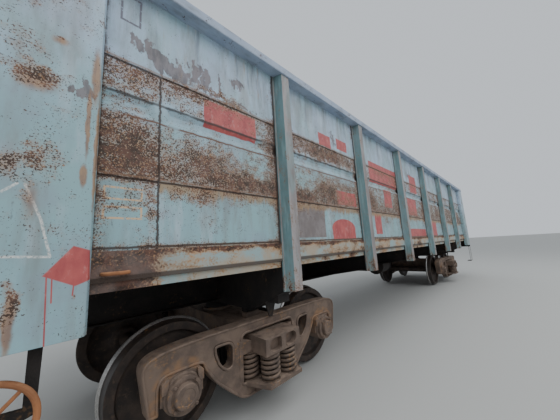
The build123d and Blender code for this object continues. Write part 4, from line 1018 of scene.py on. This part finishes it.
def make_reservoir():
    """Welded air tank with domed ends, two straps with their hangers and a drain plug."""
    shell = bmesh.new()
    rows = [(-TANK_HALF + TANK_DOME * (1 - u), TANK_RADIUS * v) for u, v in circle(32)[:9]]
    rows += [(-place, radius) for place, radius in rows[::-1]]
    centre = (0, TANK_Y, TANK_HEIGHT)
    turned(shell, rows, centre, "X")
    for place in STRAP_PLACES:
        low, high = place - 0.034, place + 0.034
        strap = [(low, STRAP_INSIDE), (low, STRAP_OUTSIDE), (high, STRAP_OUTSIDE), (high, STRAP_INSIDE)]
        turned(shell, [*strap, strap[0]], centre, "X")
        foot, head = TANK_HEIGHT + 0.004, TANK_HEIGHT + 0.068
        hanger = [(place - 0.035, foot), (place + 0.035, foot), (place + 0.035, head), (place - 0.035, head)]
        slab(shell, hanger, "Y", 0.186, TANK_Y - 0.13)
    bmesh.ops.remove_doubles(shell, verts=shell.verts, dist=MM / 1000)
    plug = [(0, 0), (0, 0.020), (0.010, 0.020), (0.014, 0.016), (0.014, 0)]
    turned(shell, plug, (0.30, TANK_Y, TANK_HEIGHT - 0.160), "Z", 20)
    settle(shell, "welded_air_tank", "wagon", [UNDERFRAME_IN_PAINTED_SHADE], ["air_reservoir"], 30)


# Pieces that keep the form of their solids

# radius in millimetres that each node's edges are rounded to
ROUNDED = {
    "side_posts_far": 5, "side_posts_near": 5, "corner_posts": 3, "top_chord_far": 10, "top_chord_near": 10,
    "end_chords": 10, "end_wall_left": 5, "end_wall_right": 5, "end_beams": 4, "end_floors": 2,
    "cross_beams": 3, "body_bolsters": 4, "centre_sill": 4, "coupler_left": 14, "coupler_right": 14,
    "draft_gears": 6, "wedges_left": 6, "wedges_right": 6, "brake_beams_left": 4, "brake_beams_right": 4,
    "corner_steps": 2, "brake_cylinder": 4, "brake_pipe": 2, "hatch_brackets": 2,
    **{f"hatch_{side_name}_{number}": 2 for side_name in ("far", "near") for number in range(1, 8)},
}


def make_rounded(node, radius_mm):
    """Piece over a CAD node whose edges are rounded as rolling, pressing or casting leaves them."""
    shell = shell_of(node)
    soften(shell, radius_mm)
    settle(shell, f"rounded_{node}", body_of(node), [finish_of(node)], [node])


# Lower chords with round bar handles

HANDLE_X = 5.788
HANDLE_HALF = 0.064
HANDLE_HEIGHT = 1.482
HANDLE_BAR = 0.011
HANDLE_REACH = 1.486
HANDLE_BEND = 0.034
CHORD_FACE = 1.451


def make_lower_chord(side_name, side):
    """Rolled angle along the foot of the side, with a bar bent to a handle near each end."""
    node = f"lower_chord_{side_name}"
    shell = shell_of(node)
    # the solid's square handles make room for the round ones
    handle = [vert for vert in shell.verts if side * vert.co.y > CHORD_FACE + 0.0005
              and abs(vert.co.x) > HANDLE_X - 0.09 and abs(vert.co.z - HANDLE_HEIGHT) < 0.012]
    bmesh.ops.delete(shell, geom=handle, context="VERTS")
    bmesh.ops.holes_fill(shell, edges=[edge for edge in shell.edges if edge.is_boundary], sides=0)
    bmesh.ops.dissolve_limit(shell, angle_limit=FLAT_FOLD, verts=shell.verts, edges=shell.edges)
    soften(shell, 4)
    for end in SIDES:
        points = [(-HANDLE_HALF, CHORD_FACE - 0.004), (-HANDLE_HALF, HANDLE_REACH - HANDLE_BEND)]
        points += [(-HANDLE_HALF + HANDLE_BEND * (1 - u), HANDLE_REACH - HANDLE_BEND * (1 - v))
                   for u, v in circle(20)[1:6]]
        points += [(-u, v) for u, v in points[::-1]]
        tube(shell, [(end * HANDLE_X + u, side * v, HANDLE_HEIGHT) for u, v in points], HANDLE_BAR, 10, 1)
    settle(shell, f"rolled_{node}", "wagon", [RUSTY_PLATE, ORANGE_RUST], [node])


# Side sheets

GRID = 0.160
DENT_DEPTH = 0.009
RIPPLE_DEPTH = 0.003
SHEET_BOTTOM = CHORD_TOP + 0.02
# heights and lengths at which a sheet is held flat
FLAT_HEIGHTS = (FIRST_LAP, SECOND_LAP, GROOVE_LOW, GROOVE_HIGH, SHEET_BOTTOM, SHEET_TOP + 0.02)
FLAT_LENGTHS = (PANEL_JOINT, CORNER_EDGE)


def cut_across(shell, place, direction):
    """Cut the faces of a shell along a plane."""
    geom = [*shell.verts, *shell.edges, *shell.faces]
    bmesh.ops.bisect_plane(shell, geom=geom, dist=0.0001, plane_co=place, plane_no=direction)


def make_side_wall(side_name, side):
    """Side of three lapped sheets: the pressed grooves are rounded, and the load has dented the sheets."""
    node = f"side_wall_{side_name}"
    shell = shell_of(node)

    def in_groove(edge):
        middle = (edge.verts[0].co + edge.verts[1].co) / 2
        return GROOVE_LOW - 0.01 < middle.z < GROOVE_HIGH + 0.01

    soften(shell, 9, 3, 20, in_groove)
    cuts = int(2 * HALF_BODY / GRID)
    for index in range(1, cuts):
        cut_across(shell, ((2 * index / cuts - 1) * HALF_BODY, 0, 0), (1, 0, 0))
    height = SHEET_BOTTOM
    while height < SHEET_TOP:
        cut_across(shell, (0, 0, height), (0, 0, 1))
        height += GRID
    for vert in shell.verts:
        x, _, z = vert.co
        if abs(x) > CORNER_EDGE or GROOVE_LOW - 0.03 < z < GROOVE_HIGH + 0.03:
            continue
        post = min(abs(x - place) for place in POST_PLACES)
        lap = min(abs(z - seam) for seam in FLAT_HEIGHTS)
        ends = min(abs(abs(x) - place) for place in FLAT_LENGTHS)
        free = min(1.0, max(0.0, post - 0.10) / 0.25, lap / 0.16, max(0.0, ends - 0.02) / 0.2)
        hollow = 0.5 + 0.5 * noise.noise(Vector((x * 1.3, 7.0 * side, z * 1.9)))
        ripple = noise.noise(Vector((x * 3.1, 3.0 * side, z * 3.7)))
        vert.co.y -= side * max(0.0, hollow * DENT_DEPTH + ripple * RIPPLE_DEPTH) * free
    settle(shell, f"dented_{node}", "wagon", [ENAMEL], [node], 30)


# Cast side frames

FRAME_BACK = 0.946
FRAME_FACE = 1.078
LIP = 0.0115
# half of the outline and of the spring opening, and one window, as (distance from the pivot, height
# above the rail head, corner radius) in millimetres
FRAME_HALF = [(850, 825, 160), (1110, 805, 90), (1193, 768, 50), (1223, 715, 60), (1168, 380, 16),
              (1097, 380, 12), (1097, 625, 85), (753, 625, 85), (740, 570, 30), (630, 409, 70),
              (493, 285, 70), (376, 182, 60), (296, 160, 40)]
OPENING_HALF = [(345, 724, 50), (345, 300, 14)]
WINDOW = [(644, 717, 40), (479, 713, 40), (435, 663, 40), (441, 485, 45), (517, 460, 40), (600, 531, 45),
          (645, 649, 40)]
SEAT = [(0.345, 1.018), (0.214, 1.320), (-0.214, 1.320), (-0.345, 1.018), (-0.214, 0.716), (0.214, 0.716)]
SEAT_LOW = 0.294
# column guide beside the springs, as (distance, y), and rib that carries the seat, as (y, height)
GUIDE = [(0.345, FRAME_FACE - 0.004), (0.392, FRAME_FACE - 0.004), (0.384, FRAME_FACE + 0.008),
         (0.345, FRAME_FACE + 0.011)]
RIB = [(1.082, 0.200), (1.082, 0.296), (1.250, 0.296), (1.230, 0.280)]
RIB_HALF = 0.009


def rounded(corners, steps=6):
    """Outline in metres whose corners (distance, height, radius in mm) are rounded."""
    points = []
    for index, (u, v, radius) in enumerate(corners):
        here = Vector((u, v))
        before = Vector(corners[index - 1][:2]) - here
        after = Vector(corners[(index + 1) % len(corners)][:2]) - here
        start = here + before.normalized() * min(radius, before.length * 0.48)
        end = here + after.normalized() * min(radius, after.length * 0.48)
        for step in range(steps + 1):
            share = step / steps
            point = start * (1 - share) ** 2 + here * 2 * share * (1 - share) + end * share ** 2
            points.append(point * MM)
    return [(point.x, point.y + RAIL_TOP) for point in points]


def mirrored(half):
    """Closed list of corners from its half on the +x side."""
    return half + [(-u, v, radius) for u, v, radius in half[::-1]]


def shifted(outline, distance):
    """Outline moved sideways by a distance, to its left as it runs."""
    moved = []
    for index, point in enumerate(outline):
        here = Vector(point)
        run = Vector(outline[(index + 1) % len(outline)]) - Vector(outline[index - 1])
        if run.length < 1e-6:
            continue
        side = Vector((-run.y, run.x)).normalized()
        moved.append(here + side * distance)
    return moved


def pierced_plate(shell, outlines, start, end, edge_radius):
    """Add an upright plate with holes whose edges are rounded; the first outline is its outer one."""
    data = bpy.data.curves.new("plate", "CURVE")
    data.dimensions = "2D"
    data.fill_mode = "BOTH"
    data.extrude = (end - start) / 2 - edge_radius
    data.bevel_depth = edge_radius
    data.bevel_resolution = 3
    data.offset = -edge_radius
    for outline in outlines:
        spline = data.splines.new("POLY")
        spline.points.add(len(outline) - 1)
        for point, (u, v) in zip(spline.points, outline):
            point.co = (u, v, 0, 1)
        spline.use_cyclic_u = True
    holder = bpy.data.objects.new("plate", data)
    mesh = bpy.data.meshes.new_from_object(holder)
    bpy.data.objects.remove(holder)
    bpy.data.curves.remove(data)
    first = len(shell.verts)
    shell.from_mesh(mesh)
    bpy.data.meshes.remove(mesh)
    shell.verts.ensure_lookup_table()
    fresh = shell.verts[first:]
    for vert in fresh:
        u, v, w = vert.co
        vert.co = (u, (start + end) / 2 + w, v)
    bmesh.ops.remove_doubles(shell, verts=fresh, dist=WELD)


def make_side_frames(name, x):
    """Both side frames of a bogie: a cast web with rounded windows, lips round them and the spring seat."""
    outer = rounded(mirrored(FRAME_HALF))
    opening = rounded(mirrored(OPENING_HALF))
    windows = [rounded([(side * u, v, radius) for u, v, radius in WINDOW]) for side in SIDES]
    half = bmesh.new()
    pierced_plate(half, [outer, opening, *windows], FRAME_BACK, FRAME_FACE, 0.010)
    # the outline runs clockwise and so does the right window, so each lip is shifted into the web
    lips = [shifted(outer, -LIP), shifted(opening, LIP), shifted(windows[0], -LIP), shifted(windows[1], LIP)]
    for lip in lips:
        tube(half, [(u, FRAME_FACE, v) for u, v in lip], LIP, 10, closed=True)
    seat = bmesh.new()
    slab(seat, SEAT, "Z", SEAT_LOW, SPRING_LOW)
    for side in SIDES:
        slab(seat, [(side * u, v) for u, v in GUIDE], "Z", 0.360, 0.700)
        for rib in (0.10, 0.21):
            slab(seat, RIB, "X", side * rib - RIB_HALF, side * rib + RIB_HALF)
    soften(seat, 5)
    bmesh.ops.recalc_face_normals(seat, faces=seat.faces)
    join(half, seat)
    bmesh.ops.recalc_face_normals(half, faces=half.faces)
    shell = bmesh.new()
    join(shell, half, [Matrix.Translation((x, 0, 0)) @ Matrix.Diagonal((1, side, 1, 1)) for side in SIDES])
    settle(shell, f"cast_side_frames_{name}", f"bogie_{name}", [CASTING], [f"side_frames_{name}"], 40)


def make_bolster(name, x):
    """Cast bolster with deep rounded pockets in its ends."""
    node = f"bolster_{name}"
    shell = shell_of(node)

    def in_pocket(edge):
        one, other = edge.verts[0].co, edge.verts[1].co
        level = abs(one.x - other.x) + abs(one.z - other.z) < 0.001
        return level and abs(one.y) > 1.2 and 0.02 < abs(one.x - x) < 0.20 and 0.575 < one.z < 0.72

    soften(shell, 22, 4, 10, in_pocket)
    soften(shell, 10, 3, 30)
    settle(shell, f"cast_{node}", f"bogie_{name}", [CASTING], [node], 40)


# The wagon, its floor and its light

make_camera()
for node, radius in ROUNDED.items():
    make_rounded(node, radius)
for number, place in enumerate(AXLE_PLACES, start=1):
    make_wheelset(number, place)
for name, place in BOGIE_PLACES.items():
    make_side_frames(name, place)
    make_bolster(name, place)
    make_springs(name, place)
    make_axle_boxes(name, [axle for axle in AXLE_PLACES if axle * place > 0])
for side_name, side in (("near", -1), ("far", 1)):
    make_lower_chord(side_name, side)
    make_side_wall(side_name, side)
make_hand_brake()
make_reservoir()
make_floor()
make_light()
